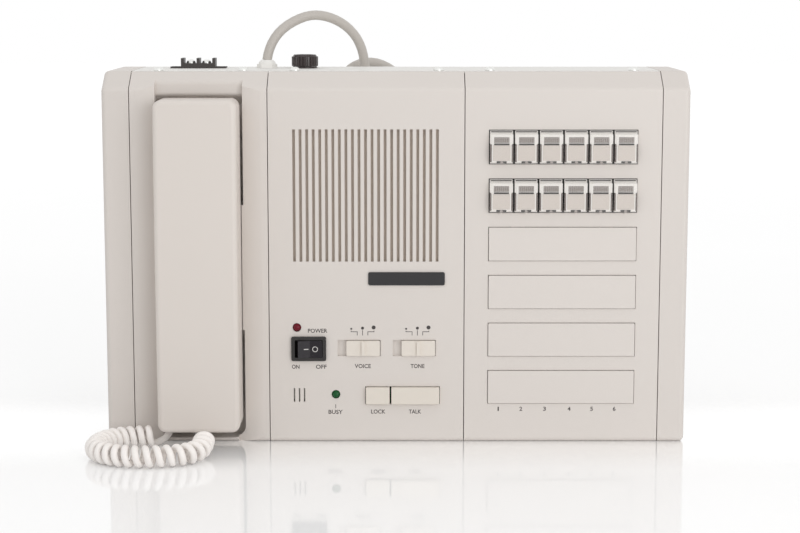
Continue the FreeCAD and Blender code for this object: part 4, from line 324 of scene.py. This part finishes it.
def curl_points(line):
    """Control points of the curls about the line, closer together where the pitch is small."""
    spread = 1 / (0.75 + 0.25 * math.cos(2 * math.pi / CURL_POINTS))
    points = []
    turned = 0.0
    due = 0.0
    for start, end in zip(line, line[1:]):
        along = (end - start).normalized()
        side = Vector((0, 0, 1)).cross(along).normalized()
        up = along.cross(side)
        away = min((start - OPEN_AT).length / OPEN_REACH, 1)
        pitch = CLOSE_PITCH + (OPEN_PITCH - CLOSE_PITCH) * (1 + math.cos(math.pi * away)) / 2
        gained = (end - start).length / pitch
        while due <= turned + gained:
            centre = start.lerp(end, (due - turned) / gained)
            angle = 2 * math.pi * due
            reach = CURL_R * spread
            points.append(centre - up * (reach * math.cos(angle)) + side * (reach * math.sin(angle)))
            due += 1 / CURL_POINTS
        turned += gained
    return points[: int(turned * 0.995) * CURL_POINTS + 1]


cradle_tail = [
    (-137.05, -15.0, 7.6), (-137.05, -21.0, 7.6), (-137.1, -27.0, 6.9), (-139.0, -32.0, 3.9),
    (-143.5, -34.5, 2.0),
]
handset_tail = [
    (-115.8, -56.9, 4.3), (-117.5, -53.9, 2.4), (-117.5, -49.5, 2.0), (-117.5, -43.8, 2.0),
    (-117.5, -40.0, 2.0), (-117.5, -37.5, 4.5), (-117.5, -37.5, 8.2),
]
curls = curl_points(line_of(metres(curl_route)))
curly_line = metres(cradle_tail) + curls + metres(handset_tail)
curly = nurbs_curve("curly_lead", curly_line, WIRE_R, sides=4, steps=2)
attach(curly, "case")
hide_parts("handset_cord")
print("curly cord:", len(curls) // CURL_POINTS, "curls")

# %% [markdown]
# ## More surface groups
# Three more effects are shared. A woven cloth is two sets of threads that cross, so two wave
# textures make its colour and its relief. Rolled and turned metal has fine scratches along one
# direction, which a noise stretched by a Mapping node gives. A circuit board shows copper runs
# under its green lacquer, and a brick texture with thin joints reads as such runs at this size.

# %% Weave, brushed metal and copper runs


def make_weave_group():
    group, given, out = new_group(
        "speaker_weave",
        [("Color", "NodeSocketColor", (0.3, 0.3, 0.3, 1)), ("Thread Scale", "NodeSocketFloat", 700.0)],
        [("Color", "NodeSocketColor"), ("Normal", "NodeSocketVector")],
    )
    link = group.links.new
    where = add_node(group, "ShaderNodeTexCoord")
    waves = []
    for direction in ("X", "Z"):
        wave = add_node(group, "ShaderNodeTexWave", bands_direction=direction, in_Distortion=0.4)
        link(where.outputs["Object"], wave.inputs["Vector"])
        link(given.outputs["Thread Scale"], wave.inputs["Scale"])
        waves.append(wave)
    crossed = add_node(group, "ShaderNodeMath", operation="MAXIMUM")
    link(waves[0].outputs["Fac"], crossed.inputs[0])
    link(waves[1].outputs["Fac"], crossed.inputs[1])
    level = add_node(group, "ShaderNodeMath", operation="MULTIPLY_ADD")
    link(crossed.outputs[0], level.inputs[0])
    level.inputs[1].default_value = 0.5
    level.inputs[2].default_value = 0.6
    tinted = add_node(group, "ShaderNodeVectorMath", operation="SCALE")
    link(given.outputs["Color"], tinted.inputs[0])
    link(level.outputs[0], tinted.inputs["Scale"])
    link(tinted.outputs[0], out.inputs["Color"])
    bump = add_node(group, "ShaderNodeBump", in_Distance=0.0001, in_Strength=0.8)
    link(crossed.outputs[0], bump.inputs["Height"])
    link(bump.outputs["Normal"], out.inputs["Normal"])
    return group


def make_brushed_group():
    group, given, out = new_group(
        "brushed_metal",
        [("Roughness", "NodeSocketFloat", 0.3)],
        [("Roughness", "NodeSocketFloat"), ("Normal", "NodeSocketVector")],
    )
    link = group.links.new
    where = add_node(group, "ShaderNodeTexCoord")
    stretch = add_node(group, "ShaderNodeMapping", in_Scale=(40.0, 900.0, 900.0))
    link(where.outputs["Object"], stretch.inputs["Vector"])
    lines = add_node(group, "ShaderNodeTexNoise", in_Scale=3.0, in_Detail=3.0)
    link(stretch.outputs["Vector"], lines.inputs["Vector"])
    rough = add_node(group, "ShaderNodeMath", operation="MULTIPLY_ADD")
    link(lines.outputs["Fac"], rough.inputs[0])
    rough.inputs[1].default_value = 0.25
    link(given.outputs["Roughness"], rough.inputs[2])
    link(rough.outputs[0], out.inputs["Roughness"])
    bump = add_node(group, "ShaderNodeBump", in_Distance=0.00002, in_Strength=0.3)
    link(lines.outputs["Fac"], bump.inputs["Height"])
    link(bump.outputs["Normal"], out.inputs["Normal"])
    return group


def make_runs_group():
    group, given, out = new_group(
        "copper_runs",
        [
            ("Lacquer", "NodeSocketColor", (0.02, 0.12, 0.05, 1)),
            ("Run", "NodeSocketColor", (0.08, 0.3, 0.1, 1)),
        ],
        [("Color", "NodeSocketColor"), ("Normal", "NodeSocketVector")],
    )
    link = group.links.new
    where = add_node(group, "ShaderNodeTexCoord")
    turn = add_node(group, "ShaderNodeMapping", in_Rotation=(math.radians(90), 0, 0))
    link(where.outputs["Object"], turn.inputs["Vector"])
    runs = add_node(group, "ShaderNodeTexBrick", in_Scale=160.0, in_Mortar_Size=0.05, in_Bias=0.0)
    link(turn.outputs["Vector"], runs.inputs["Vector"])
    link(given.outputs["Lacquer"], runs.inputs["Color1"])
    link(given.outputs["Lacquer"], runs.inputs["Color2"])
    link(given.outputs["Run"], runs.inputs["Mortar"])
    link(runs.outputs["Color"], out.inputs["Color"])
    bump = add_node(group, "ShaderNodeBump", in_Distance=0.00005, in_Strength=0.5)
    link(runs.outputs["Fac"], bump.inputs["Height"])
    link(bump.outputs["Normal"], out.inputs["Normal"])
    return group


WEAVE = make_weave_group()
BRUSHED = make_brushed_group()
RUNS = make_runs_group()


def surfaced(name, group, values, sockets):
    """A material with one of those groups; values go to the group, sockets to the shader."""
    material = bpy.data.materials.new(name)
    material.use_nodes = True
    tree = material.node_tree
    shader = tree.nodes["Principled BSDF"]
    effect = add_node(tree, "ShaderNodeGroup", node_tree=group)
    for title, value in values.items():
        effect.inputs[title].default_value = value
    for output in effect.outputs:
        target = "Base Color" if output.name == "Color" else output.name
        tree.links.new(output, shader.inputs[target])
    for title, value in sockets.items():
        shader.inputs[title].default_value = value
    return material


print("groups:", [group.name for group in (SKIN, WEAVE, BRUSHED, RUNS)])

# %% [markdown]
# ## Finishes of the console's own parts
# The covers and end caps are warm grey moulded plastic, the handset is the same plastic with a
# finer skin, and the keys are a little creamier. The rear panel is painted sheet metal in a paler
# colour, and that colour is set paler still as painted highlight, for its top washed out by the
# light from above; the nylon gland on it is made near-white the same way. What is black is never
# quite black: the switch is a warm charcoal that still shows its facets. The lamps' lenses and the
# rocker shine less than the rest, so their dark colours stay deep. Each CAD node gets its material
# by the record's slot, so one table does it.

# %% Finishes
BODY = tone(221, 214, 208)
finishes = {
    "housing": moulded("housing_plastic", BODY, roughness=0.48, drift=0.05),
    "end_cap": moulded("end_cap_plastic", tone(219, 212, 206), roughness=0.48, drift=0.05),
    "handset": moulded(
        "handset_plastic", tone(223, 215, 208), roughness=0.4, drift=0.04, grain_scale=3200.0,
    ),
    "plate": moulded("plate_plastic", tone(222, 215, 209), roughness=0.5, drift=0.04),
    "slider": moulded("slider_cream", tone(229, 221, 211), roughness=0.42),
    "wide_key": moulded("wide_key_cream", tone(227, 219, 208), roughness=0.42),
    # Near-white: the panel's paler paint, lifted further as painted highlight of the washed-out top.
    "sheet_metal": moulded(
        "pale_sheet_painted_highlight", tone(236, 234, 230), roughness=0.55, grain_scale=900.0, grain_depth=0.4,
    ),
    "black_rubber": moulded(
        "foot_rubber", tone(44, 43, 43), roughness=0.75, drift=0.1, grain_scale=1500.0,
    ),
    "steel": surfaced(
        "zinc_screws", BRUSHED, {"Roughness": 0.2},
        {"Base Color": tone(232, 232, 229), "Metallic": 1.0},
    ),
    "speaker": moulded(
        "speaker_paper", tone(52, 48, 45), roughness=0.8, drift=0.2, grain_scale=600.0,
    ),
    "cloth": surfaced("speaker_cloth", WEAVE, {"Color": tone(205, 192, 180)}, {"Roughness": 0.9}),
    "capsule": surfaced(
        "capsule_tin", BRUSHED, {}, {"Base Color": tone(170, 168, 160), "Metallic": 1.0},
    ),
    "board": surfaced("circuit_board", RUNS, {}, {"Roughness": 0.4, "Coat Weight": 0.4}),
    "switch_body": moulded("switch_black", tone(38, 35, 34), roughness=0.35, drift=0.1),
    "rocker": moulded("rocker_black", tone(34, 30, 35), roughness=0.3, drift=0.1),
    "terminal": moulded("terminal_black", tone(60, 55, 53), roughness=0.45, drift=0.06),
    "fuse_black": moulded("fuse_black", tone(52, 42, 41), roughness=0.22, drift=0.1),
    # Pale nylon, made near-white as painted highlight of the light from above.
    "gland": moulded("gland_nylon_painted_highlight", tone(240, 238, 234), roughness=0.45),
    "jack": moulded("jack_body", tone(70, 68, 66), roughness=0.5),
    "hook": moulded("hook_nylon", tone(232, 228, 220), roughness=0.4),
    "key": moulded("key_cream", tone(226, 220, 213), roughness=0.42),
    "red_lens": moulded("red_lens", tone(108, 12, 32), roughness=0.2, drift=0.3, grain_depth=0.02),
    "green_lens": moulded(
        "green_lens", tone(20, 84, 42), roughness=0.2, drift=0.3, grain_depth=0.02,
    ),
    "clear_plug": moulded("clear_plug", tone(236, 238, 240), roughness=0.12, grain_depth=0.02),
    "cable": moulded("cable_jacket", tone(192, 186, 179), roughness=0.42, grain_scale=1200.0),
    "cord": moulded(
        "cord_jacket", tone(252, 247, 243), roughness=0.42, drift=0.02, grain_scale=1600.0,
    ),
}
for slot_name, shine in (("red_lens", 0.2), ("green_lens", 0.2), ("rocker", 0.28)):
    darker = finishes[slot_name].node_tree.nodes["Principled BSDF"]
    darker.inputs["Specular IOR Level"].default_value = shine
clear = finishes["clear_plug"].node_tree.nodes["Principled BSDF"]
clear.inputs["Transmission Weight"].default_value = 0.85

for subpart in frame["record"]["subparts"]:
    node = nodes[subpart["node"]]
    node.data.materials.clear()
    node.data.materials.append(finishes[subpart["material_slot"]])
cable.data.materials.append(finishes["cable"])
curly.data.materials.append(finishes["cord"])
print("finishes:", len(finishes))

# %% [markdown]
# ## Small parts from bmesh
# Many small parts here are blocks with soft edges. One helper adds such a block to a bmesh: it
# starts from create_cube, stretches it to its place and bevels its edges. Round marks and pegs
# start from create_cone with two equal radii. A part's colours are told apart by material index,
# one per block.

# %% Block, disc and finish helpers
FACING_FRONT = Matrix.Rotation(math.radians(90), 4, "X")
DISC_SIDES = 28


def block_place(low, high):
    """The matrix that stretches a unit cube between two corners, given in millimetres."""
    middle = Vector([(a + b) / 2 for a, b in zip(low, high)]) * MM
    size = Vector([b - a for a, b in zip(low, high)]) * MM
    return Matrix.Translation(middle) @ Matrix.Diagonal((*size, 1.0))


def linked(vertices, kind):
    """The faces or edges round these vertices, each once and in the same order in every run."""
    return list(dict.fromkeys(item for vertex in vertices for item in getattr(vertex, kind)))


def soft_block(mesh, low, high, soft=0.0, index=0):
    """A block between two corners in millimetres, its edges rounded if soft isn't 0."""
    made = bmesh.ops.create_cube(mesh, size=1.0, matrix=block_place(low, high))["verts"]
    for face in linked(made, "link_faces"):
        face.material_index = index
    if soft > 0:
        edges = linked(made, "link_edges")
        bmesh.ops.bevel(
            mesh, geom=edges, offset=soft * MM, segments=2, profile=0.5, affect="EDGES", material=-1,
        )


def disc(mesh, x, z, y0, y1, radius, index=0):
    """A short round peg along Y, between two depths, in millimetres."""
    place = Matrix.Translation(Vector((x, (y0 + y1) / 2, z)) * MM) @ FACING_FRONT
    made = bmesh.ops.create_cone(
        mesh, cap_ends=True, segments=DISC_SIDES, radius1=radius * MM, radius2=radius * MM,
        depth=abs(y1 - y0) * MM, matrix=place,
    )["verts"]
    for face in linked(made, "link_faces"):
        face.material_index = index


def finish_piece(name, mesh, body, materials):
    """Turns the bmesh into an object that rides on a body and takes its finish from a slot."""
    bmesh.ops.recalc_face_normals(mesh, faces=mesh.faces)
    data = bpy.data.meshes.new(name)
    mesh.to_mesh(data)
    mesh.free()
    piece = bpy.data.objects.new(name, data)
    bpy.context.scene.collection.objects.link(piece)
    for material in materials:
        data.materials.append(material)
    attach(piece, body)
    return piece


print("helpers ready")

# %% [markdown]
# ## Selector keys
# A selector key on such a console is a clear cap that snaps over an insert. The insert has a paper
# label in its lower part, and above it a hatched window in front of the lamp. A near-black line
# under the window is painted shadow of the step there, and another just under the cap's top edge is
# painted shade of that edge. Below its window the insert is narrower, and the dark strips at both
# sides, seen through the clear wall, are painted shade of the gaps there. A notch with a pull tab at
# the bottom lets a fingernail lift the cap; the notch's hollow is painted dark as its shade. The
# clear plastic is a faint see-through skin with a sharp shine, since light falls straight through so
# thin a wall. The insert is one mesh of blocks, most of them listed in a table with their two
# corners, the softness of their edges and their finish. The cap is its own mesh: a block open at the
# back, its top edge cut back further than the rest, with a wall from a Solidify modifier.

# %% Key finishes
key_frame = moulded("key_frame", tone(238, 234, 229), roughness=0.35)
key_label = moulded("key_label", tone(212, 203, 195), roughness=0.7, drift=0.06, grain_scale=4000.0)
# Near-black painted shade: the lines under the window and under the cap's top edge, and the notch's
# hollow.
painted_key_shade = moulded("painted_key_shade", tone(26, 21, 20), roughness=0.6)
key_window = moulded("key_window", tone(112, 103, 98), roughness=0.5)
key_hatch = moulded("key_hatch", tone(164, 156, 151), roughness=0.5)
# Dark mottled strips at the key's sides: painted shade of the gaps beside the narrower insert.
painted_side_shade = moulded("painted_side_shade", tone(104, 93, 88), roughness=0.5, drift=0.6, grain_scale=500.0)
clear_cap = moulded("clear_cap", tone(250, 246, 242), roughness=0.06, drift=0.02, grain_depth=0.02)
clear_cap.node_tree.nodes["Principled BSDF"].inputs["Alpha"].default_value = 0.05
key_materials = [finishes["key"], key_frame, key_label, painted_key_shade, key_window, key_hatch, painted_side_shade]
KEY, FRAME, LABEL, PAINTED_SHADE, WINDOW, HATCH, SIDE_SHADE = range(len(key_materials))
print("key finishes:", len(key_materials))

# %% One selector key
INSERT_BLOCKS = {
    "stem": ((-6.0, -26.2, -8.5), (6.0, -14.9, 8.5), 0.3, KEY),
    "carrier plate": ((-6.75, -26.6, -9.8), (6.75, -25.5, 9.8), 0.2, FRAME),
    "frame": ((-6.1, -29.9, -9.1), (6.1, -26.4, 7.4), 0.45, FRAME),
    # Painted shade just under the cap's top edge.
    "painted shade at the top": ((-6.2, -27.2, 8.9), (6.2, -26.5, 9.5), 0.0, PAINTED_SHADE),
    "label": ((-5.2, -30.1, -7.9), (5.2, -29.7, 1.4), 0.15, LABEL),
    # Painted shadow of the step under the window.
    "painted shadow under the window": ((-4.5, -30.3, 1.45), (4.5, -29.7, 2.4), 0.0, PAINTED_SHADE),
    "window": ((-4.5, -30.0, 2.8), (4.5, -29.7, 6.1), 0.0, WINDOW),
    "wider top of the frame": ((-6.9, -29.6, 2.0), (6.9, -26.4, 7.8), 0.3, FRAME),
    # The notch's hollow, painted dark as its shade.
    "notch": ((-3.0, -30.3, -9.3), (3.0, -29.7, -8.15), 0.2, PAINTED_SHADE),
}
HATCH_UPRIGHT = 8
HATCH_LEVEL = 3
CAP_WIDE = 14.2
CAP_HIGH = 20.0
CAP_FRONT = -31.0
CAP_BACK = -26.0
CAP_SLOPE = 2.0
CAP_ROUND = 0.35
CAP_WALL = 0.5
NEAR = 1e-6


def key_insert(number, x, z):
    """The insert under the cap, round the key's middle, with hatching, painted side shade and pull
    tab.
    """
    mesh = bmesh.new()
    for low, high, soft, index in INSERT_BLOCKS.values():
        low_corner = (x + low[0], low[1], z + low[2])
        high_corner = (x + high[0], high[1], z + high[2])
        soft_block(mesh, low_corner, high_corner, soft, index=index)
    for k in range(HATCH_UPRIGHT):
        bar = x - 4.0 + k * 8.0 / (HATCH_UPRIGHT - 1)
        soft_block(mesh, (bar - 0.22, -30.25, z + 2.9), (bar + 0.22, -29.9, z + 6.0), index=HATCH)
    for k in range(HATCH_LEVEL):
        bar = z + 3.4 + k * 1.05
        soft_block(mesh, (x - 4.3, -30.2, bar - 0.2), (x + 4.3, -29.9, bar + 0.2), index=HATCH)
    # Dark strips at both sides: painted shade of the gaps beside the narrower insert.
    for side in (-1, 1):
        edges = sorted((x + side * 5.9, x + side * 6.85))
        soft_block(mesh, (edges[0], -29.95, z - 8.6), (edges[1], -26.5, z + 1.7), 0.1, index=SIDE_SHADE)
    disc(mesh, x, z - 8.95, -30.4, -29.2, 0.9, index=HATCH)
    piece = finish_piece(
        f"selector_insert_{number:02d}", mesh, f"selector_{number:02d}", key_materials,
    )
    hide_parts(f"selector_key_{number:02d}")


def key_cap(number, x, z):
    """The clear cap round the key's middle, open at the back."""
    mesh = bmesh.new()
    low = Vector((x - CAP_WIDE / 2, CAP_FRONT, z - CAP_HIGH / 2)) * MM
    high = Vector((x + CAP_WIDE / 2, CAP_BACK, z + CAP_HIGH / 2)) * MM
    place = Matrix.Translation((low + high) / 2) @ Matrix.Diagonal((*(high - low), 1.0))
    bmesh.ops.create_cube(mesh, size=1.0, matrix=place)
    back = [face for face in mesh.faces if face.calc_center_median().y > high.y - NEAR]
    bmesh.ops.delete(mesh, geom=back, context="FACES_ONLY")
    top = [
        edge for edge in mesh.edges
        if all(v.co.y < low.y + NEAR and v.co.z > high.z - NEAR for v in edge.verts)
    ]
    bmesh.ops.bevel(
        mesh, geom=top, offset=CAP_SLOPE * MM, segments=1, profile=0.5, affect="EDGES", material=-1,
    )
    outer = [edge for edge in mesh.edges if not edge.is_boundary]
    bmesh.ops.bevel(
        mesh, geom=outer, offset=CAP_ROUND * MM, segments=2, profile=0.5, affect="EDGES", material=-1,
    )
    piece = finish_piece(
        f"selector_cap_{number:02d}", mesh, f"selector_{number:02d}", [clear_cap],
    )
    wall = piece.modifiers.new("wall", "SOLIDIFY")
    wall.thickness = CAP_WALL * MM
    wall.offset = -1.0


for number in range(1, 13):
    node = nodes[f"selector_key_{number:02d}"]
    corners = [node.matrix_world @ Vector(corner) for corner in node.bound_box]
    middle = sum(corners, Vector()) / len(corners) / MM
    key_insert(number, middle.x, middle.z)
    key_cap(number, middle.x, middle.z)
print("selector keys: 12")

# %% [markdown]
# ## Printed words, dots and lines
# The legends are screen printed: ink a few hundredths of a millimetre thick. Each word is a text
# curve, turned into a mesh, stood up to face the front and joined to one sheet of print. Dots of
# three sizes and bent lines stand over the two sliders and show quiet, middle and loud. They are
# thin blocks and discs on the same sheet.

# %% Front print
FACE = -26.0
INK_DEEP = 0.05
CAPITAL_HIGH = 2.5

words = [
    ("POWER", -47.3, 68.5, 11.7), ("ON", -60.7, 46.4, 4.6), ("OFF", -45.2, 46.4, 6.5),
    ("VOICE", -20.1, 46.8, 9.7), ("TONE", 13.0, 46.8, 8.4), ("BUSY", -36.7, 18.5, 8.6),
    ("LOCK", -10.8, 18.7, 8.6), ("TALK", 11.5, 18.7, 7.4), ("1", 62.0, 20.4, 0.8),
    ("2", 75.7, 20.4, 1.7), ("3", 90.1, 20.4, 1.7), ("4", 105.0, 20.4, 1.8),
    ("5", 118.7, 20.4, 1.7), ("6", 132.4, 20.4, 1.7),
]


def print_word(mesh, word, x, z, width):
    """Adds a word, centred on a place of the front and fitted to its width, as thin raised letters."""
    letters = bpy.data.curves.new("letters", "FONT")
    letters.body = word
    letters.size = 1.0
    letters.resolution_u = 3
    letters.offset = 0.014
    holder = bpy.data.objects.new("letters", letters)
    bpy.context.scene.collection.objects.link(holder)
    flat = bpy.data.meshes.new_from_object(holder)
    bpy.data.objects.remove(holder)
    across = [vertex.co.x for vertex in flat.vertices]
    upward = [vertex.co.y for vertex in flat.vertices]
    middle = Vector((min(across) + max(across), min(upward) + max(upward), 0.0)) / 2
    wide = width * MM / (max(across) - min(across))
    high = CAPITAL_HIGH * MM / (max(upward) - min(upward))
    fit = Matrix.Diagonal((wide, high, 1.0, 1.0))
    stand = Matrix.Translation(Vector((x, FACE - INK_DEEP, z)) * MM) @ FACING_FRONT
    flat.transform(stand @ fit @ Matrix.Translation(-middle))
    word_mesh = bmesh.new()
    word_mesh.from_mesh(flat)
    bmesh.ops.solidify(word_mesh, geom=word_mesh.faces[:], thickness=INK_DEEP * MM)
    word_mesh.to_mesh(flat)
    word_mesh.free()
    mesh.from_mesh(flat)
    bpy.data.meshes.remove(flat)


def ink_line(mesh, start, end, thick=0.36):
    """A straight line of ink between two places of the front, upright or level."""
    low = (min(start[0], end[0]) - thick / 2, FACE - INK_DEEP, min(start[1], end[1]) - thick / 2)
    high = (max(start[0], end[0]) + thick / 2, FACE + 0.02, max(start[1], end[1]) + thick / 2)
    soft_block(mesh, low, high)


ink = bmesh.new()
for word, word_x, word_z, width in words:
    print_word(ink, word, word_x, word_z, width)
for middle_x in (-20.2, 12.9):
    for shift, height, radius in ((-6.8, 69.7, 0.6), (0.0, 70.1, 0.9), (6.7, 70.5, 1.2)):
        disc(ink, middle_x + shift, height, FACE - INK_DEEP, FACE + 0.02, radius)
    for side in (-1, 1):
        ink_line(ink, (middle_x + side * 6.9, 68.4), (middle_x + side * 6.9, 67.9))
        ink_line(ink, (middle_x + side * 6.9, 67.9), (middle_x + side * 3.2, 67.9))
        ink_line(ink, (middle_x + side * 3.2, 67.9), (middle_x + side * 3.2, 65.9))
    ink_line(ink, (middle_x, 68.6), (middle_x, 65.8))
ink_line(ink, (-36.6, 23.0), (-36.6, 21.0))
ink_grey = moulded("print_ink", tone(66, 61, 60), roughness=0.6)
finish_piece("front_print", ink, "case", [ink_grey])
print("print:", len(words), "words")

# %% [markdown]
# ## Badge plate and rocker marks
# Under the grille sits a dark glossy plate with rounded corners, glued into place. The rocker
# carries a bar on its ON half and a ring on its OFF half. Each half slopes its own way, so the
# marks are laid flat first, then turned with their half and moved a hair in front of it.

# %% Badge and marks
BADGE_LOW = (-16.7, -26.75, 96.3)
BADGE_HIGH = (29.3, -25.95, 104.3)
BADGE_ROUND = 1.1
RING_R = 1.7
RING_HOLE = 0.77
RING_THICK = 0.06

badge = bmesh.new()
bmesh.ops.create_cube(badge, size=1.0, matrix=block_place(BADGE_LOW, BADGE_HIGH))
corners = [edge for edge in badge.edges if abs(edge.verts[0].co.y - edge.verts[1].co.y) > 0.5 * MM]
bmesh.ops.bevel(
    badge, geom=corners, offset=BADGE_ROUND * MM, segments=4, profile=0.5, affect="EDGES", material=-1,
)
badge_black = moulded("badge_black", tone(37, 36, 38), roughness=0.22, drift=0.05, grain_depth=0.03)
finish_piece("bare_badge", badge, "case", [badge_black])

ROCKER_MIDDLE = Vector((-52.7, 0.0, 57.6))


def rocker_mark(mesh, x, depth, lean):
    """Moves a mark made round the origin, facing -Y, onto its half of the rocker."""
    place = Matrix.Translation(Vector((ROCKER_MIDDLE.x + x, FACE + depth, ROCKER_MIDDLE.z)) * MM)
    mesh.transform(place @ Matrix.Rotation(math.radians(lean), 4, "Z"))


marks = bmesh.new()
soft_block(marks, (-1.4, -0.08, -0.27), (1.4, 0.0, 0.27))
rocker_mark(marks, -1.5, -2.93, 16.3)
ring = bmesh.new()
bmesh.ops.create_circle(ring, segments=36, radius=RING_R * MM, matrix=FACING_FRONT)
outline = ring.edges[:]
inner = bmesh.ops.extrude_edge_only(ring, edges=outline)["geom"]
inner_verts = [item for item in inner if isinstance(item, bmesh.types.BMVert)]
bmesh.ops.scale(ring, vec=(RING_HOLE, RING_HOLE, RING_HOLE), verts=inner_verts)
bmesh.ops.solidify(ring, geom=ring.faces[:], thickness=RING_THICK * MM)
rocker_mark(ring, 3.9, -2.48, -2.35)
ring_data = bpy.data.meshes.new("ring")
ring.to_mesh(ring_data)
ring.free()
marks.from_mesh(ring_data)
bpy.data.meshes.remove(ring_data)
mark_white = moulded("mark_white", tone(214, 212, 208), roughness=0.5)
finish_piece("rocker_marks", marks, "rocker", [mark_white])
print("badge and rocker marks")

# %% [markdown]
# ## Cable tie
# The put-away turns are held by a short hook-and-loop strap. It is a band with rounded corners
# round the whole bundle: a block without its two open ends, its long edges bevelled, and a wall
# from Solidify.

# %% Tie
TIE_LOW = (-6.0, COIL_CENTRE[1] + 20.4, 0.45)
TIE_HIGH = (6.0, COIL_CENTRE[1] + 48.2, 13.4)
TIE_ROUND = 4.5
TIE_WALL = 0.4

tie = bmesh.new()
bmesh.ops.create_cube(tie, size=1.0, matrix=block_place(TIE_LOW, TIE_HIGH))
ends = [face for face in tie.faces if abs(face.normal.x) > 0.9]
bmesh.ops.delete(tie, geom=ends, context="FACES_ONLY")
long_edges = [edge for edge in tie.edges if not edge.is_boundary]
bmesh.ops.bevel(
    tie, geom=long_edges, offset=TIE_ROUND * MM, segments=5, profile=0.5, affect="EDGES", material=-1,
)
strap_black = moulded(
    "strap_black", tone(46, 45, 46), roughness=0.85, drift=0.2, grain_scale=900.0, grain_depth=0.8,
)
strap = finish_piece("cable_tie", tie, "case", [strap_black])
strap_wall = strap.modifiers.new("wall", "SOLIDIFY")
strap_wall.thickness = TIE_WALL * MM
strap_wall.offset = 1.0
print("cable tie")

# %% [markdown]
# ## Floor, light and background
# The floor is polished white acrylic. It mirrors the console's foot, and the mirror image fades
# with the distance from the floor's middle line, to the front and to the back, by a smooth step.
# Its colour is nearly white, and for rays from the camera a little emission lifts the open floor to
# full white while the shadow and the reflection stay. The light comes from the front right, so the
# left end is a shade darker: one large soft lamp there, a weak one overhead and an even white world
# light a front face about as its colour is written.

# %% Floor
MIRROR_FROM = 0.03
MIRROR_TO = 0.1
MIRROR_SHARE = 0.62
FLOOR_LIFT = 0.12

floor_mesh = bmesh.new()
bmesh.ops.create_grid(floor_mesh, x_segments=1, y_segments=1, size=6.0)
floor_data = bpy.data.meshes.new("floor")
floor_mesh.to_mesh(floor_data)
floor_mesh.free()
floor = bpy.data.objects.new("floor", floor_data)
bpy.context.scene.collection.objects.link(floor)
acrylic = moulded("floor_acrylic", (0.93, 0.93, 0.93, 1), roughness=0.06, drift=0.01, grain_depth=0.0)
floor_data.materials.append(acrylic)
tree = acrylic.node_tree
shader = tree.nodes["Principled BSDF"]
where = add_node(tree, "ShaderNodeTexCoord")
parts_of = add_node(tree, "ShaderNodeSeparateXYZ")
mirror = add_node(tree, "ShaderNodeMapRange", interpolation_type="SMOOTHSTEP")
mirror.inputs["From Min"].default_value = MIRROR_FROM
mirror.inputs["From Max"].default_value = MIRROR_TO
mirror.inputs["To Min"].default_value = MIRROR_SHARE
mirror.inputs["To Max"].default_value = 0.0
away = add_node(tree, "ShaderNodeMath", operation="ABSOLUTE")
tree.links.new(where.outputs["Object"], parts_of.inputs[0])
tree.links.new(parts_of.outputs["Y"], away.inputs[0])
tree.links.new(away.outputs[0], mirror.inputs["Value"])
tree.links.new(mirror.outputs["Result"], shader.inputs["Metallic"])
rays = add_node(tree, "ShaderNodeLightPath")
lift = add_node(tree, "ShaderNodeMath", operation="MULTIPLY")
lift.inputs[1].default_value = FLOOR_LIFT
tree.links.new(rays.outputs["Is Camera Ray"], lift.inputs[0])
tree.links.new(lift.outputs[0], shader.inputs["Emission Strength"])
shader.inputs["Emission Color"].default_value = (1, 1, 1, 1)
print("floor")

# %% World and lamps
WORLD_LEVEL = 0.78
world = bpy.data.worlds.new("studio")
bpy.context.scene.world = world
world.use_nodes = True
tree = world.node_tree
rays = add_node(tree, "ShaderNodeLightPath")
seen = add_node(tree, "ShaderNodeMath", operation="MAXIMUM")
tree.links.new(rays.outputs["Is Camera Ray"], seen.inputs[0])
tree.links.new(rays.outputs["Is Glossy Ray"], seen.inputs[1])
seen_more = add_node(tree, "ShaderNodeMath", operation="MAXIMUM")
tree.links.new(seen.outputs[0], seen_more.inputs[0])
tree.links.new(rays.outputs["Is Transmission Ray"], seen_more.inputs[1])
level = add_node(tree, "ShaderNodeMapRange")
level.inputs["To Min"].default_value = WORLD_LEVEL
level.inputs["To Max"].default_value = 1.0
tree.links.new(seen_more.outputs[0], level.inputs["Value"])
background = tree.nodes["Background"]
background.inputs["Color"].default_value = (1, 1, 1, 1)
tree.links.new(level.outputs["Result"], background.inputs["Strength"])


def softbox(name, place, aim, size, power):
    """A square area lamp that faces a point."""
    data = bpy.data.lights.new(name, "AREA")
    data.size = size
    data.energy = power
    lamp = bpy.data.objects.new(name, data)
    lamp.location = place
    lamp.rotation_euler = (Vector(aim) - Vector(place)).to_track_quat("-Z", "Y").to_euler()
    bpy.context.scene.collection.objects.link(lamp)


softbox("front_box", (0.6, -1.15, 0.3), (0.0, 0.0, 0.1), 0.8, 4.5)
softbox("top_box", (-0.1, -0.4, 1.4), (0.0, 0.0, 0.1), 1.0, 1.0)
bpy.context.scene.view_settings.view_transform = "Standard"
print("world level", WORLD_LEVEL)
